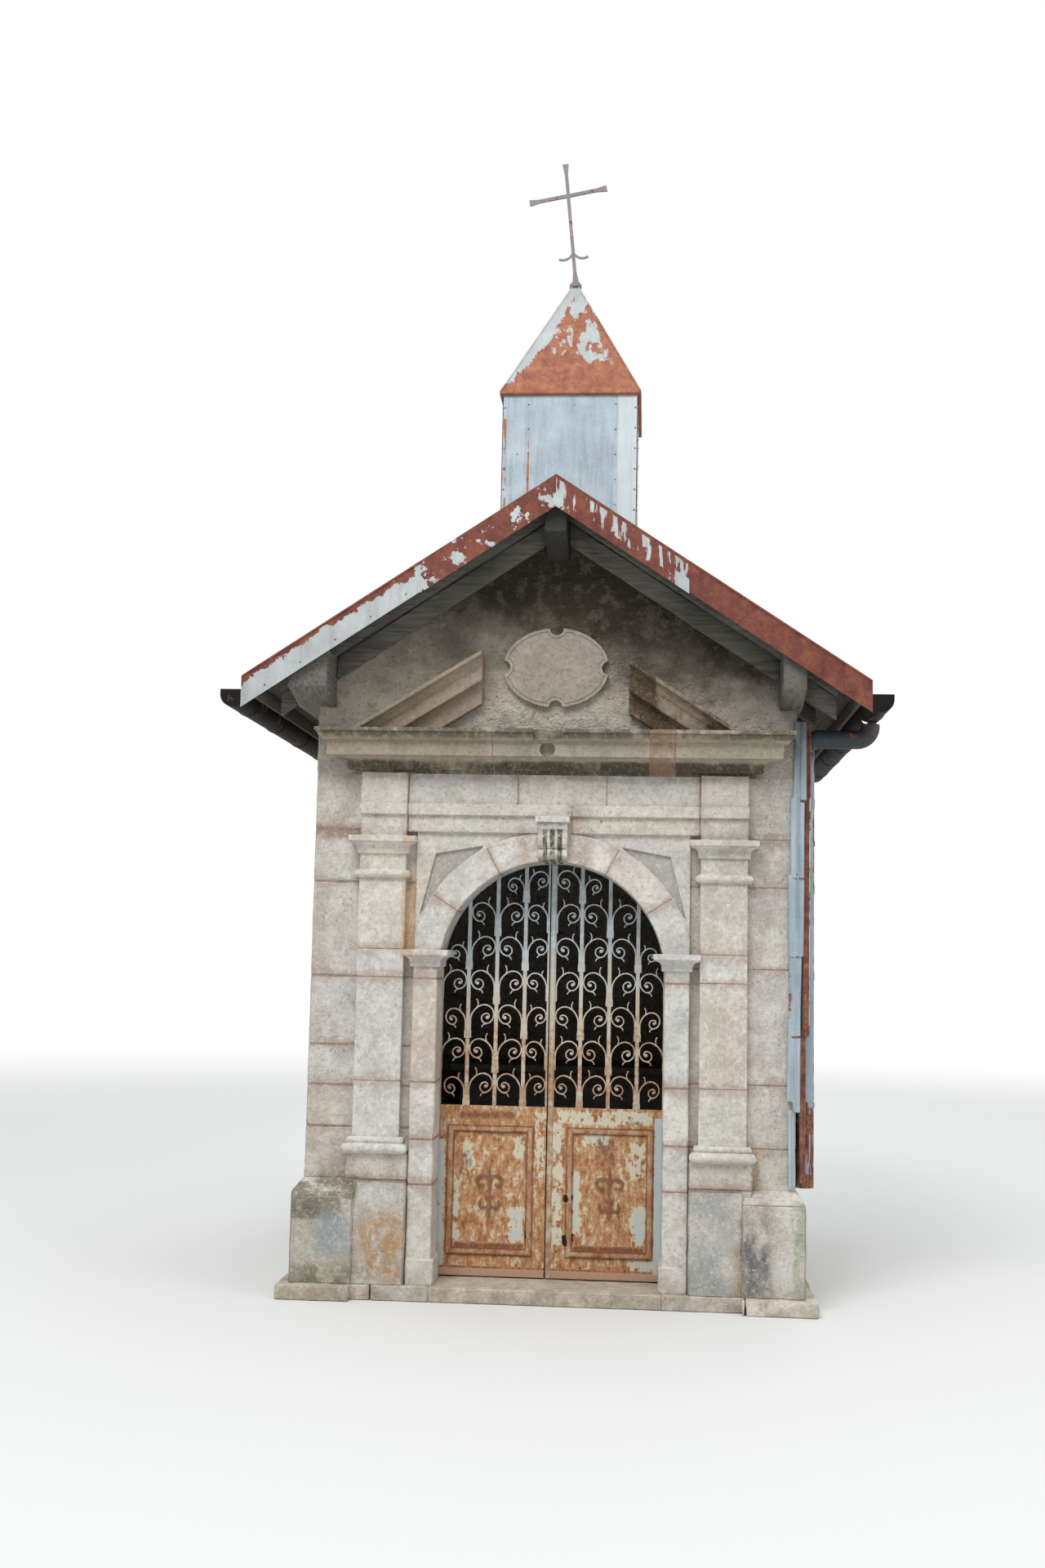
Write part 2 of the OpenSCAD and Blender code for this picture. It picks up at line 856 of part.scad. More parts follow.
// One rafter outside each gable, and the others spread evenly over the room
module rafters() {
    first_y = front_t + rafter_gap;
    last_y = room_back_y - rafter_gap - rafter_w;
    inner_n = rafter_n - 2;
    ys = concat(
        [rafter_first_y, body_d - rafter_first_y - rafter_w],
        [for (i = [0:inner_n - 1]) first_y + (last_y - first_y) * i / (inner_n - 1)]
    );
    for (y = ys)
        slope_slab(over, rafter_run, rafter_drop, rafter_drop + rafter_h, y, y + rafter_w);
}

// Board along the top of the front and back gables, cut out where the wall plate passes
module gable_boards(plate_w) {
    for (y = [-gable_board_t, body_d]) difference() {
        slope_slab(
            ridge_beam_w / 2 + over, rafter_run, gable_board_drop,
            gable_board_drop + gable_board_h, y, y + gable_board_t
        );
        block(
            plate_x - over, plate_x + plate_w + over, y - over, y + gable_board_t + over,
            wall_h - gable_board_h, ridge_z
        );
    }
}

// Board on edge under the roof boards, along the gutter
module fascia() {
    along_y(-overhang, body_d + overhang) polygon([
        [fascia_x - fascia_t, fascia_z], [fascia_x, fascia_z],
        [fascia_x, roof_z(fascia_x, rafter_drop)],
        [fascia_x - fascia_t, roof_z(fascia_x - fascia_t, rafter_drop)]
    ]);
}

module right_rafters() {
    color("dimgray") placed() {
        rafters();
        gable_boards(right_plate_w);
        fascia();
    }
}

module left_rafters() {
    color("dimgray") placed() on_left() {
        rafters();
        gable_boards(left_plate_w);
        fascia();
    }
}

module boards() {
    slope_slab(0, eaves_x, board_drop, board_drop + board_t, -overhang, body_d + overhang);
}

module right_boards() {
    color("gray") placed() boards();
}

module left_boards() {
    color("gray") placed() on_left() boards();
}

module roof_sheet() {
    slope_slab(0, sheet_run, 0, sheet_t, -overhang, body_d + overhang);
}

module right_roof_sheet() {
    color("silver") placed() roof_sheet();
}

module left_roof_sheet() {
    color("silver") placed() on_left() roof_sheet();
}

// Folded strips along the ridge, in front of and behind the turret
module ridge_cap() {
    color("lightsteelblue") placed() on_both() {
        slope_slab(
            0, cap_run, -lap_t - fit, -fit, verge_flange - overhang, turret_y - turret_x
        );
        slope_slab(
            0, cap_run, -lap_t - fit, -fit, turret_y + turret_x,
            body_d + overhang - verge_flange
        );
    }
}

// Folded sheets that cover the ends of the boards at the front and back: the upper length
// laps over the lower one
module verge() {
    top = -lap_t - fit;
    slope_slab(0, sheet_run, top, verge_d, -overhang - lap_t, -overhang);
    slope_slab(0, sheet_run, top, -fit, -overhang - lap_t, verge_flange - overhang);
    slope_slab(0, lap_x, top, verge_d + lap_step, -overhang - 2 * lap_t, -overhang - lap_t);
}

module verges() {
    color("indianred") placed() {
        on_both() verge();
        translate([0, body_d, 0]) mirror([0, 1, 0]) on_both() verge();
    }
}

// The gutter's outline: a half-round with straight sides above it
module trough(r) {
    translate([gutter_x, gutter_z]) {
        intersection() {
            circle(r = r);
            translate([-r, -r]) square([2 * r, r]);
        }
        translate([-r, 0]) square([2 * r, gutter_rise]);
    }
}

// Gutter with closed ends and hooks up to the boards
module gutter() {
    hook_x = fascia_x;
    along_y(gutter_y0, gutter_y1) difference() {
        trough(gutter_r);
        trough(gutter_r - gutter_t);
    }
    along_y(gutter_y0, gutter_y0 + gutter_t) trough(gutter_r);
    along_y(gutter_y1 - gutter_t, gutter_y1) trough(gutter_r);
    for (i = [0:hook_n - 1]) {
        y = (body_d - hook_w) * i / (hook_n - 1);
        along_y(y, y + hook_w) {
            difference() {
                trough(gutter_r + gutter_t);
                trough(gutter_r - over);
            }
            polygon([
                [hook_x, gutter_rim_z - over], [hook_x + gutter_t, gutter_rim_z - over],
                [hook_x + gutter_t, roof_z(hook_x + gutter_t, rafter_drop)],
                [hook_x, roof_z(hook_x, rafter_drop)]
            ]);
        }
    }
}

module gutters() {
    color("saddlebrown") placed() difference() {
        on_both() gutter();
        translate([gutter_x, pipe_y, gutter_z - gutter_r - over])
            cylinder(r = outlet_r, h = gutter_r);
    }
}

// Wall of the pipe in section, thicker at a sleeve or a clip
module pipe_section(grow = 0) {
    difference() {
        circle(r = pipe_r + grow);
        circle(r = pipe_r - pipe_t);
    }
}

module pipe_length(z0, z1, grow = 0) {
    translate([pipe_x, pipe_y, z0]) linear_extrude(z1 - z0) pipe_section(grow);
}

// One bend of the downpipe's neck
module pipe_bend() {
    rotate([90, 0, 0]) rotate_extrude(angle = 90, $fn = 64)
        translate([neck_r, 0]) pipe_section();
}

// Jointed downpipe: lengths and sleeves, the neck to the gutter, and two clips on the wall
module downpipe() {
    sleeves = [for (i = [0:2]) pipe_end_z + (pipe_top_z - pipe_end_z) * (0.47 + 0.2 * i)];
    clip_zs = [for (i = [0, 1]) pipe_end_z + (pipe_top_z - pipe_end_z) * (0.18 + 0.6 * i)];
    color("lightsteelblue") placed() union() {
        pipe_length(pipe_end_z, clip_zs[0]);
        pipe_length(clip_zs[0] + clip_h, sleeves[0]);
        pipe_length(sleeves[0] + sleeve_h, sleeves[1]);
        pipe_length(sleeves[1] + sleeve_h, clip_zs[1]);
        pipe_length(clip_zs[1] + clip_h, sleeves[2]);
        pipe_length(sleeves[2] + sleeve_h, pipe_top_z);
        for (z = sleeves) pipe_length(z, z + sleeve_h, sleeve_t);
        for (z = clip_zs) {
            pipe_length(z, z + clip_h, clip_t);
            block(
                wall_x, pipe_x - pipe_r - over,
                pipe_y - clip_arm_w / 2, pipe_y + clip_arm_w / 2, z, z + clip_h
            );
        }
        translate([pipe_x + neck_r, pipe_y, pipe_top_z]) rotate([0, 0, 180]) pipe_bend();
        translate([pipe_x + neck_r, pipe_y, pipe_top_z + neck_r])
            rotate([0, 90, 0]) linear_extrude(gutter_x - pipe_x - 2 * neck_r) pipe_section();
        translate([gutter_x - neck_r, pipe_y, outlet_z - outlet_h])
            rotate([180, 0, 0]) pipe_bend();
        translate([gutter_x, pipe_y, outlet_z - outlet_h])
            linear_extrude(outlet_h) pipe_section();
    }
}

// Hollow square turret cut to sit astride the ridge
module turret_walls() {
    inner = turret_x - turret_t;
    color("lightsteelblue") placed() difference() {
        along_y(turret_y - turret_x, turret_y + turret_x) polygon([
            [-turret_x, roof_z(turret_x, -fit)], [0, roof_z(0, -fit)],
            [turret_x, roof_z(turret_x, -fit)],
            [turret_x, turret_z], [-turret_x, turret_z]
        ]);
        block(
            -inner, inner, turret_y - inner, turret_y + inner,
            roof_z(turret_x) - over, turret_z + over
        );
    }
}

// Outline of the pyramid, shrunk by an inset for its hollow inside
module spire_outline(inset) {
    polygon([
        [-spire_x + inset, 0], [spire_x - inset, 0], [spire_x - inset, spire_edge],
        [spire_flat - inset * 0.4, spire_h - inset], [-spire_flat + inset * 0.4, spire_h - inset],
        [-spire_x + inset, spire_edge]
    ]);
}

module spire(inset) {
    intersection() {
        along_y(-spire_x, spire_x) spire_outline(inset);
        along_x(-spire_x, spire_x) spire_outline(inset);
    }
}

module turret_roof() {
    color("indianred") placed() translate([0, turret_y, turret_z]) difference() {
        spire(0);
        translate([0, 0, -0.01]) spire(turret_t);
    }
}

// An iron bar whose ends flare
module flared_bar(length, w) {
    flare = w * 0.4;
    polygon([
        [-w / 2 - flare, 0], [w / 2 + flare, 0], [w / 2, 3 * w], [w / 2, length - 3 * w],
        [w / 2 + flare, length], [-w / 2 - flare, length], [-w / 2, length - 3 * w], [-w / 2, 3 * w]
    ]);
}

// Wedge between two angles that span less than a half turn
module wedge(reach, a0, a1) {
    mid = (a0 + a1) / 2;
    polygon([
        [0, 0], reach * [cos(a0), sin(a0)], 1.5 * reach * [cos(mid), sin(mid)],
        reach * [cos(a1), sin(a1)]
    ]);
}

// Part of a ring from the angle a0 up to the angle a1
module ring_part(r, w, a0, a1) {
    reach = 2 * (r + w);
    if (a1 - a0 < 175) intersection() {
        ring(r, w);
        wedge(reach, a0, a1);
    } else difference() {
        ring(r, w);
        wedge(reach, a1, a0 + 360);
    }
}

module ring(r, w) {
    difference() {
        circle(r = r + w / 2);
        circle(r = r - w / 2);
    }
}

// Cap on the pyramid and the wrought cross, which has slipped out of true
module cross() {
    rim_h = cap_h * 0.4;
    color("dimgray") placed() translate([0, turret_y, spire_top_z]) {
        cylinder(r = cap_r, h = rim_h);
        translate([0, 0, rim_h]) cylinder(r1 = cap_r, r2 = cap_r / 2, h = cap_h - rim_h);
        translate([0, 0, cap_h - 2]) rotate([0, -cross_lean, 0]) {
            along_y(-iron_d / 2, iron_d / 2) {
                flared_bar(cross_h, iron_w);
                translate([0, arm_z]) rotate(arm_tilt - 90) translate([0, -cross_w / 2])
                    flared_bar(cross_w, iron_w);
                translate([horn_r, horn_z + horn_r]) ring_part(horn_r, horn_w, 182, 300);
                translate([-horn_r, horn_z + horn_r]) ring_part(horn_r, horn_w, 240, 358);
            }
        }
    }
}

// Wall hooks that carry the gate: an arm from the rebate's side and an upright pin
module pintle(z) {
    arm_h = 16;
    arm_w = 20;
    gap = 2;
    pin_top = 12;
    translate([hinge_x, hinge_y, z - arm_h - gap]) {
        cylinder(r = eye_r, h = arm_h);
        translate([0, -arm_w / 2, 0]) cube([embrasure_x - hinge_x, arm_w, arm_h]);
        cylinder(r = pin_r, h = arm_h + gap + eye_h + pin_top);
    }
}

module pintles() {
    color("dimgray") placed() on_both() for (z = hinge_zs) pintle(z);
}

// Eye on a leaf that turns on a pintle, with the strap that holds it
module leaf_eye(z) {
    difference() {
        union() {
            translate([hinge_x, hinge_y, z]) cylinder(r = eye_r, h = eye_h);
            block(
                leaf_out_x - stile_w, hinge_x, bar_y + bar_d, bar_y + bar_d + strap_t,
                z, z + eye_h
            );
        }
        translate([hinge_x, hinge_y, z - over]) cylinder(r = pin_r + pin_fit, h = eye_h + 2 * over);
    }
}

// Outline of one scroll to the right of a bar. The iron leaves the bar upright, swings out
// over the top, and winds down and round to a knob. scroll_w is the clear width that it
// fills, and k makes it smaller where the arch leaves less room.
function scroll_r(scroll_w, k) = 52 * k * scroll_w / (bar_pitch - bar_w);
function scroll_centre(scroll_w, k) =
    [bar_w / 2 + scroll_w * k - flat_t / 2 + 1 - scroll_r(scroll_w, k), 105 * k];

module scroll(scroll_w, k = 1) {
    big_r = scroll_r(scroll_w, k);
    big = scroll_centre(scroll_w, k);
    q = big_r / 52;
    stem_x = bar_w / 2 + flat_t / 2 - 0.5;
    stem_top = 70 * k;
    dx = big[0] - stem_x;
    dz = big[1] - stem_top;
    swing_r = (dx * dx + dz * dz - big_r * big_r) / (2 * (dx - big_r));
    swing = [stem_x + swing_r, stem_top];
    join_a = atan2(big[1] - swing[1], big[0] - swing[0]);
    mid_r = 27 * q;
    mid_a = -60;
    mid = big + (big_r - mid_r) * [cos(mid_a), sin(mid_a)];
    low_r = 15 * q;
    low = mid + (mid_r - low_r) * [0, 1];
    leaf_r = 38 * q;
    leaf_a = join_a + 22;
    leaf_root = swing + swing_r * [cos(leaf_a), sin(leaf_a)];
    stem_w = flat_t + 0.6;
    translate([stem_x - stem_w / 2, 0]) square([stem_w, stem_top + over]);
    translate(swing) ring_part(swing_r, flat_t, join_a - 1, 180);
    translate(big) ring_part(big_r, flat_t - taper, mid_a - 1, join_a);
    translate(mid) ring_part(mid_r, flat_t - 2 * taper, 89, 360 + mid_a);
    translate(low) {
        ring_part(low_r, flat_t - 3 * taper, -30, 90);
        translate([4, -6] * q) circle(r = 9 * q, $fn = 24);
    }
    translate(leaf_root + leaf_r * [cos(128), sin(128)]) ring_part(leaf_r, tick_w, -56, 40);
    translate(mid + [-4 * q, -mid_r - 22 * q]) ring_part(20 * q, tick_w, 88, 178);
}

// A collar with the pair of irons that it holds
module collar() {
    translate([-bar_w / 2 - flat_t - 2, -22]) square([bar_w + 2 * flat_t + 4, 40]);
}

function row_z(i) = panel_top_z + scroll_start + i * row_h;

// Clear outline of the arched opening inside the leaf's frame
module arch_clear(r) {
    translate([0, arch_z]) circle(r = r, $fn = 96);
    translate([-r, panel_top_z - over]) square([2 * r, arch_z - panel_top_z + over]);
}

// Radius from the arch's centre that a scroll reaches, and the first size that stays inside
function scroll_reach(x, side, z, w, k) =
    let (c = [x + side * scroll_centre(w, k)[0], z + scroll_centre(w, k)[1] - arch_z])
    norm([c[0], max(c[1], 0)]) + scroll_r(w, k) + flat_t + 2;
function scroll_k(x, side, z, w) =
    let (fits = [for (k = [1, 0.85, 0.7, 0.55]) if (scroll_reach(x, side, z, w, k) < arch_r) k])
    len(fits) > 0 ? fits[0] : 0;
// Whether the foot of a pair at this place still stands inside the arch
function foot_inside(x, z) = norm([x + bar_w, max(z + 40 - arch_z, 0)]) < arch_r;

module fitted_scroll(x, side, z, w) {
    k = scroll_k(x, side, z, w);
    if (k > 0) translate([x, z]) mirror([side < 0 ? 1 : 0, 0]) scroll(w, k);
}

// Grille of one leaf as an outline: the bars and their scrolls, cut to the arch.
// near_x is the inner edge of the meeting bar, and near_w its width.
module grille_outline(near_x, near_w) {
    cell_w = bar_pitch - bar_w;
    first_w = bar_pitch - bar_w / 2 - near_x - near_w;
    intersection() {
        arch_clear(arch_r + 2);
        union() {
            for (i = [1:3]) translate([i * bar_pitch - bar_w / 2, panel_top_z - over])
                square([bar_w, crown_z]);
            for (i = [0:6], b = [0:4]) {
                x = b == 0 ? near_x + near_w - bar_w / 2 : b * bar_pitch;
                z = row_z(i);
                at_stile = b == 4 && z + 120 < arch_z;
                if ((i + b) % 2 == 1 && (b == 4 ? at_stile : foot_inside(x, z))) {
                    if (b > 0 && b < 4) translate([x, z]) collar();
                    if (b < 4) fitted_scroll(x, 1, z, b == 0 ? first_w : cell_w);
                    if (b > 0) fitted_scroll(x, -1, z, b == 1 ? first_w : cell_w);
                }
            }
        }
    }
}

// Iron frame and grille of a leaf whose meeting bar starts at near_x
module leaf_ironwork(near_x, near_w) {
    top_r = leaf_out_x;
    along_y(bar_y, bar_y + bar_d) {
        intersection() {
            difference() {
                translate([0, arch_z]) circle(r = top_r, $fn = 96);
                translate([0, arch_z]) circle(r = top_r - arch_bar_w, $fn = 96);
            }
            translate([near_x, arch_z]) square([2 * top_r, 2 * top_r]);
        }
        translate([leaf_out_x - stile_w, gate_z]) square([stile_w, arch_z - gate_z]);
        intersection() {
            translate([near_x, gate_z]) square([near_w, crown_z]);
            union() {
                translate([0, arch_z]) circle(r = top_r - over, $fn = 96);
                translate([-top_r, gate_z]) square([2 * top_r, arch_z - gate_z]);
            }
        }
        translate([near_x + over, panel_top_z - rail_h])
            square([leaf_out_x - near_x - 2 * over, rail_h]);
        translate([near_x + over, gate_z])
            square([leaf_out_x - near_x - 2 * over, foot_rail_h]);
        grille_outline(near_x, near_w);
    }
    for (z = hinge_zs) leaf_eye(z);
}

// Mitred frame of a panel moulding
module panel_moulding(x0, x1, z0, z1) {
    face = 39;
    step_d = 5;
    step_w = 7;
    for (i = [0:2]) {
        a = step_w * i;
        b = face - step_w * i;
        along_y(sheet_y - step_d * (i + 1), sheet_y - step_d * i) difference() {
            translate([x0 + a, z0 + a]) square([x1 - x0 - 2 * a, z1 - z0 - 2 * a]);
            translate([x0 + b, z0 + b]) square([x1 - x0 - 2 * b, z1 - z0 - 2 * b]);
        }
    }
}

// Raised ornament in the middle of a panel: two volutes that rise from one stem
module panel_ornament(x, z) {
    translate([x, 0, z]) along_y(sheet_y - 9, sheet_y) {
        polygon([[-7, -120], [0, -140], [7, -120], [5, 95], [0, 140], [-5, 95]]);
        for (s = [0, 1]) mirror([s, 0]) {
            translate([38, 38]) ring_part(38, 12, 20, 200);
            translate([46, 45]) ring_part(22, 11, -140, 25);
            translate([30, -62]) ring_part(30, 12, 110, 270);
            translate([34, -72]) ring_part(20, 10, -95, 60);
        }
    }
}

// Sheet panel of a leaf with its moulding, ornament and foot rail
module leaf_panel(sheet_x) {
    mould_x0 = 87;
    mould_x1 = 553;
    mould_z0 = gate_z + 107;
    mould_z1 = panel_top_z - 102;
    foot_strip_t = 4;
    foot_strip_h = 32;
    foot_strip_end = 12;
    block(sheet_x, leaf_out_x, sheet_y, bar_y, gate_z, panel_top_z);
    block(
        sheet_x, leaf_out_x - foot_strip_end, sheet_y - foot_strip_t, sheet_y,
        gate_z, gate_z + foot_strip_h
    );
    panel_moulding(mould_x0, mould_x1, mould_z0, mould_z1);
    panel_ornament((mould_x0 + mould_x1) / 2, (mould_z0 + mould_z1) / 2);
}

module left_leaf_ironwork() {
    color("rosybrown") placed() on_left() leaf_ironwork(-left_leaf_x, left_meeting_w);
}

module left_leaf_panel() {
    color("peru") placed() on_left() leaf_panel(-left_leaf_x);
}

// The right leaf carries the half-round strip that covers the middle
module right_leaf_ironwork() {
    color("rosybrown") placed() union() {
        leaf_ironwork(right_leaf_x, meeting_w);
        block(right_leaf_x, -right_leaf_x, sheet_y, bar_y, gate_z, strip_top_z);
        translate([0, sheet_y, gate_z]) linear_extrude(strip_top_z - gate_z) intersection() {
            translate([0, strip_sink]) circle(r = strip_r);
            translate([-strip_r, -strip_r]) square([2 * strip_r, strip_r]);
        }
    }
}

module right_leaf_panel() {
    color("peru") placed() leaf_panel(-right_leaf_x);
}

// Altar with a hollow-moulded top against the back wall
module altar() {
    top_h = 110;
    top_out = 60;
    half = altar_w / 2 - top_out;
    front_y = room_back_y - altar_d + top_out;
    color("gainsboro") placed() union() {
        block(-half, half, front_y, room_back_y, footing_h, altar_h - top_h);
        moulded(
            -half, half, front_y, room_back_y,
            slab_profile(altar_h - top_h, top_h, top_out)
        );
    }
}

footing();
threshold();
floor_slab();
left_plinth();
right_plinth();
back_plinth();
left_wall();
right_wall();
back_wall();
left_front_pier();
right_front_pier();
wall_over_door();
front_gable();
jambs();
imposts();
arch_ring();
spandrels();
keystone();
pedestals();
pilasters();
capitals();
architrave();
frieze();
cornice();
raking_mouldings();
plaque();
ridge_beam();
wall_plates();
left_rafters();
right_rafters();
left_boards();
right_boards();
left_roof_sheet();
right_roof_sheet();
ridge_cap();
verges();
gutters();
downpipe();
turret_walls();
turret_roof();
cross();
pintles();
left_leaf_ironwork();
left_leaf_panel();
right_leaf_ironwork();
right_leaf_panel();
altar();
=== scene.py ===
"""Looks of a small wayside chapel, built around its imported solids."""

import math
import random

import bmesh
import bpy
from bpy.props import FloatProperty, FloatVectorProperty, IntProperty, PointerProperty
from mathutils import Matrix, Vector, noise


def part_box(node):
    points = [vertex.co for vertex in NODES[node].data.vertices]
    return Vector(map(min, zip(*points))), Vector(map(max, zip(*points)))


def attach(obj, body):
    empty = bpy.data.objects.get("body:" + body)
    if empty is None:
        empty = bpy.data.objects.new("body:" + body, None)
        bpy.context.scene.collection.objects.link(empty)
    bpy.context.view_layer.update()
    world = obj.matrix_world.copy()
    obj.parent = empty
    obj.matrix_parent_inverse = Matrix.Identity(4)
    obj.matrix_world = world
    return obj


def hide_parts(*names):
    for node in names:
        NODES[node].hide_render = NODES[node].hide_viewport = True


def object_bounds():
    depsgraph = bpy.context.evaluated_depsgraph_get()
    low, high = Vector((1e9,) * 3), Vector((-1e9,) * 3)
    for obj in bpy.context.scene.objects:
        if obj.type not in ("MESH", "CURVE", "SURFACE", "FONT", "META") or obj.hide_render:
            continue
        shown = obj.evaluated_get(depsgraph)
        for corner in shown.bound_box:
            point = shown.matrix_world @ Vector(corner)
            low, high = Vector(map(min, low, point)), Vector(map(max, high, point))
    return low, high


bl_info = {
    "name": "Wayside Chapel",
    "version": (1, 0, 0),
    "blender": (4, 5, 0),
    "location": "View3D > Sidebar > Chapel",
    "description": "Stones, timber, sheet metal and ironwork of a small chapel",
    "category": "Object",
}

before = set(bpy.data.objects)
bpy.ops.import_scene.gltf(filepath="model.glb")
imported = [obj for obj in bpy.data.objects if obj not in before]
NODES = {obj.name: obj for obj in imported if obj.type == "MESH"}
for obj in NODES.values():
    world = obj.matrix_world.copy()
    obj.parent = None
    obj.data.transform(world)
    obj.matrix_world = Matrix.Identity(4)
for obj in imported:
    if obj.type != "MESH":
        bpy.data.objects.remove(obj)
CAD_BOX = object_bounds()
# The face of the piers, the face of the gate's sheets, and the height of the ridge
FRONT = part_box("left_front_pier")[0][1]
SHEET_Y = FRONT + 0.21
RIDGE_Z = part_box("right_roof_sheet")[1][2]
# Pitch of the roof, and how far from the middle its two courses of sheets overlap
SLOPE = math.radians(33.5)
LAP_X = 0.70
# Distance within which points are merged, the turn below which faces count as flat, and the turn
# above which an edge is bevelled
MERGE = 2e-5
FLAT, SHARP = math.radians(0.4), math.radians(28.0)
# Layers of noise that wear a surface: how much finer each is than the one before, and its share
WEAR_SCALES = ((9.0, 0.65), (3.7, 0.35))
# How far a joint stains the stone beside it
HALO_REACH = 0.075


# Node trees


def put(tree, socket, value):
    """Links an output to a socket, or gives the socket a value."""
    if isinstance(value, bpy.types.NodeSocket):
        tree.links.new(value, socket)
    elif socket.type == "RGBA" and len(value) == 3:
        socket.default_value = (*value, 1)
    else:
        socket.default_value = value


def grow(tree, kind, inputs=None, output=0, **settings):
    """Adds a node with its settings and inputs, and returns one of its outputs."""
    node = tree.nodes.new(kind)
    for key, value in settings.items():
        setattr(node, key, value)
    for key, value in (inputs or {}).items():
        put(tree, node.inputs[key], value)
    return node.outputs[output] if len(node.outputs) else None


class Value:
    """An output in a shader that takes the signs of arithmetic."""

    def __init__(self, shader, socket):
        self.shader, self.socket = shader, socket

    def __add__(self, other):
        return self.shader.math("ADD", self, other)

    def __sub__(self, other):
        return self.shader.math("SUBTRACT", self, other)

    def __rsub__(self, other):
        return self.shader.math("SUBTRACT", other, self)

    def __mul__(self, other):
        return self.shader.math("MULTIPLY", self, other)

    def __truediv__(self, other):
        return self.shader.math("DIVIDE", self, other)

    def __abs__(self):
        return self.shader.math("ABSOLUTE", self)


MATERIALS = {}


class Shader:
    """A small writer of node trees whose textures all read Object coordinates."""

    def __init__(self, name):
        self.name, self.settings = name, bpy.context.scene.chapel
        self.material = bpy.data.materials.new(name)
        self.material.use_nodes = True
        self.tree = self.material.node_tree
        self.tree.nodes.clear()
        self.coords = self.add("TexCoord", output="Object")
        self.x, self.y, self.z = (
            self.add("SeparateXYZ", {0: self.coords}, output=axis) for axis in range(3)
        )

    def add(self, kind, inputs=None, output=0, **settings):
        """Adds a shader node and returns one of its outputs as a Value."""
        plain = {key: getattr(value, "socket", value) for key, value in (inputs or {}).items()}
        return Value(self, grow(self.tree, "ShaderNode" + kind, plain, output, **settings))

    def math(self, operation, a, b=0.0, clamp=False):
        return self.add("Math", {0: a, 1: b}, operation=operation, use_clamp=clamp)

    def noise(self, scale, detail=4.0, roughness=0.55, drawn=None, distortion=0.0):
        """Noise, drawn out upwards by one share or along each axis by its own."""
        spot = self.coords
        if drawn is not None:
            shares = drawn if hasattr(drawn, "__len__") else (1, 1, drawn)
            spot = self.add("Mapping", {"Vector": self.coords, "Scale": shares})
        return self.add("TexNoise", {
            "Vector": spot, "Scale": scale, "Detail": detail, "Roughness": roughness,
            "Distortion": distortion,
        }, "Fac")

    def cells(self, scale):
        return self.add("TexVoronoi", {"Vector": self.coords, "Scale": scale}, "Distance")

    def band(self, value, low, high):
        """0 below low and 1 above high, or the other way round where low is above high."""
        ends = (low, high, 0.0, 1.0) if low < high else (high, low, 1.0, 0.0)
        inputs = dict(zip(("From Min", "From Max", "To Min", "To Max"), ends), Value=value)
        return self.add("MapRange", inputs, "Result", interpolation_type="SMOOTHSTEP")

    def most(self, *values):
        """The highest of some values."""
        out = values[0]
        for value in values[1:]:
            out = self.math("MAXIMUM", out, value)
        return out

    def zone(self, x=None, z=None, soft=0.05):
        """1 inside the given ranges across and upwards, which fades to 0 outside them."""
        edges = []
        for axis, span in ((self.x, x), (self.z, z)):
            if span:
                edges.append(self.band(axis, span[0] - soft, span[0] + soft))
                edges.append(self.band(axis, span[1] + soft, span[1] - soft))
        return math.prod(edges[1:], start=edges[0])

    def zones(self, table):
        """The highest of some zones, each as (x, z, softness, strength)."""
        return self.most(*(self.zone(x, z, soft) * strength for x, z, soft, strength in table))

    def mix(self, share, a, b, blend="MIX"):
        return self.add(
            "Mix", {0: share, 6: a, 7: b}, 2, data_type="RGBA", blend_type=blend, clamp_factor=True
        )

    def over(self, colour, *layers):
        """A colour with others laid over it in order, each as (share, colour)."""
        for share, other in layers:
            colour = self.mix(share, colour, other)
        return colour

    def ramp(self, value, *stops):
        """Colours along a value, each as (place, colour)."""
        out = self.add("ValToRGB", {0: value})
        elements = out.socket.node.color_ramp.elements
        while len(elements) < len(stops):
            elements.new(0.5)
        for element, (place, colour) in zip(elements, stops):
            element.position = place
            element.color = (*colour, 1)
        return out

    def attribute(self, name):
        return self.add("Attribute", output="Fac", attribute_name=name)

    def bump(self, height, strength, distance, after=None):
        inputs = {"Strength": strength, "Distance": distance, "Height": height}
        if after is not None:
            inputs["Normal"] = after
        return self.add("Bump", inputs)

    def finish(self, colour, roughness, normal, metallic=0.0, specular=0.5):
        """Ends the tree in its surface and keeps the material under its name."""
        surface = self.add("BsdfPrincipled", {
            "Base Color": colour, "Roughness": roughness, "Metallic": metallic,
            "Specular IOR Level": specular, "Normal": normal,
        })
        self.add("OutputMaterial", {0: surface})
        MATERIALS[self.name] = self.material


# Meshes


def add_object(name, data):
    thing = bpy.data.objects.new(name, data)
    bpy.context.scene.collection.objects.link(thing)
    return thing


def finished(name, mesh, key, body="building", stands_for=()):
    """Makes a mesh a piece with a finish, which rides on a body."""
    piece = add_object(name, mesh)
    mesh.materials.clear()
    mesh.materials.append(MATERIALS[key])
    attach(piece, body)
    if stands_for:
        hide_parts(*stands_for)


def mesh_from(bm, name):
    mesh = bpy.data.meshes.new(name)
    bmesh.ops.recalc_face_normals(bm, faces=bm.faces)
    bm.to_mesh(mesh)
    bm.free()
    return mesh


def make_piece(bm, name, key, angle=None, stands_for=()):
    """A piece of the building, smooth apart from edges that turn by more than the angle."""
    mesh = mesh_from(bm, name)
    if angle:
        bm = bmesh.new()
        bm.from_mesh(mesh)
        limit = math.radians(angle)
        for face in bm.faces:
            face.smooth = True
        for edge in bm.edges:
            edge.smooth = len(edge.link_faces) == 2 and edge.calc_face_angle(0) < limit
        bm.to_mesh(mesh)
        bm.free()
    finished(name, mesh, key, stands_for=stands_for)


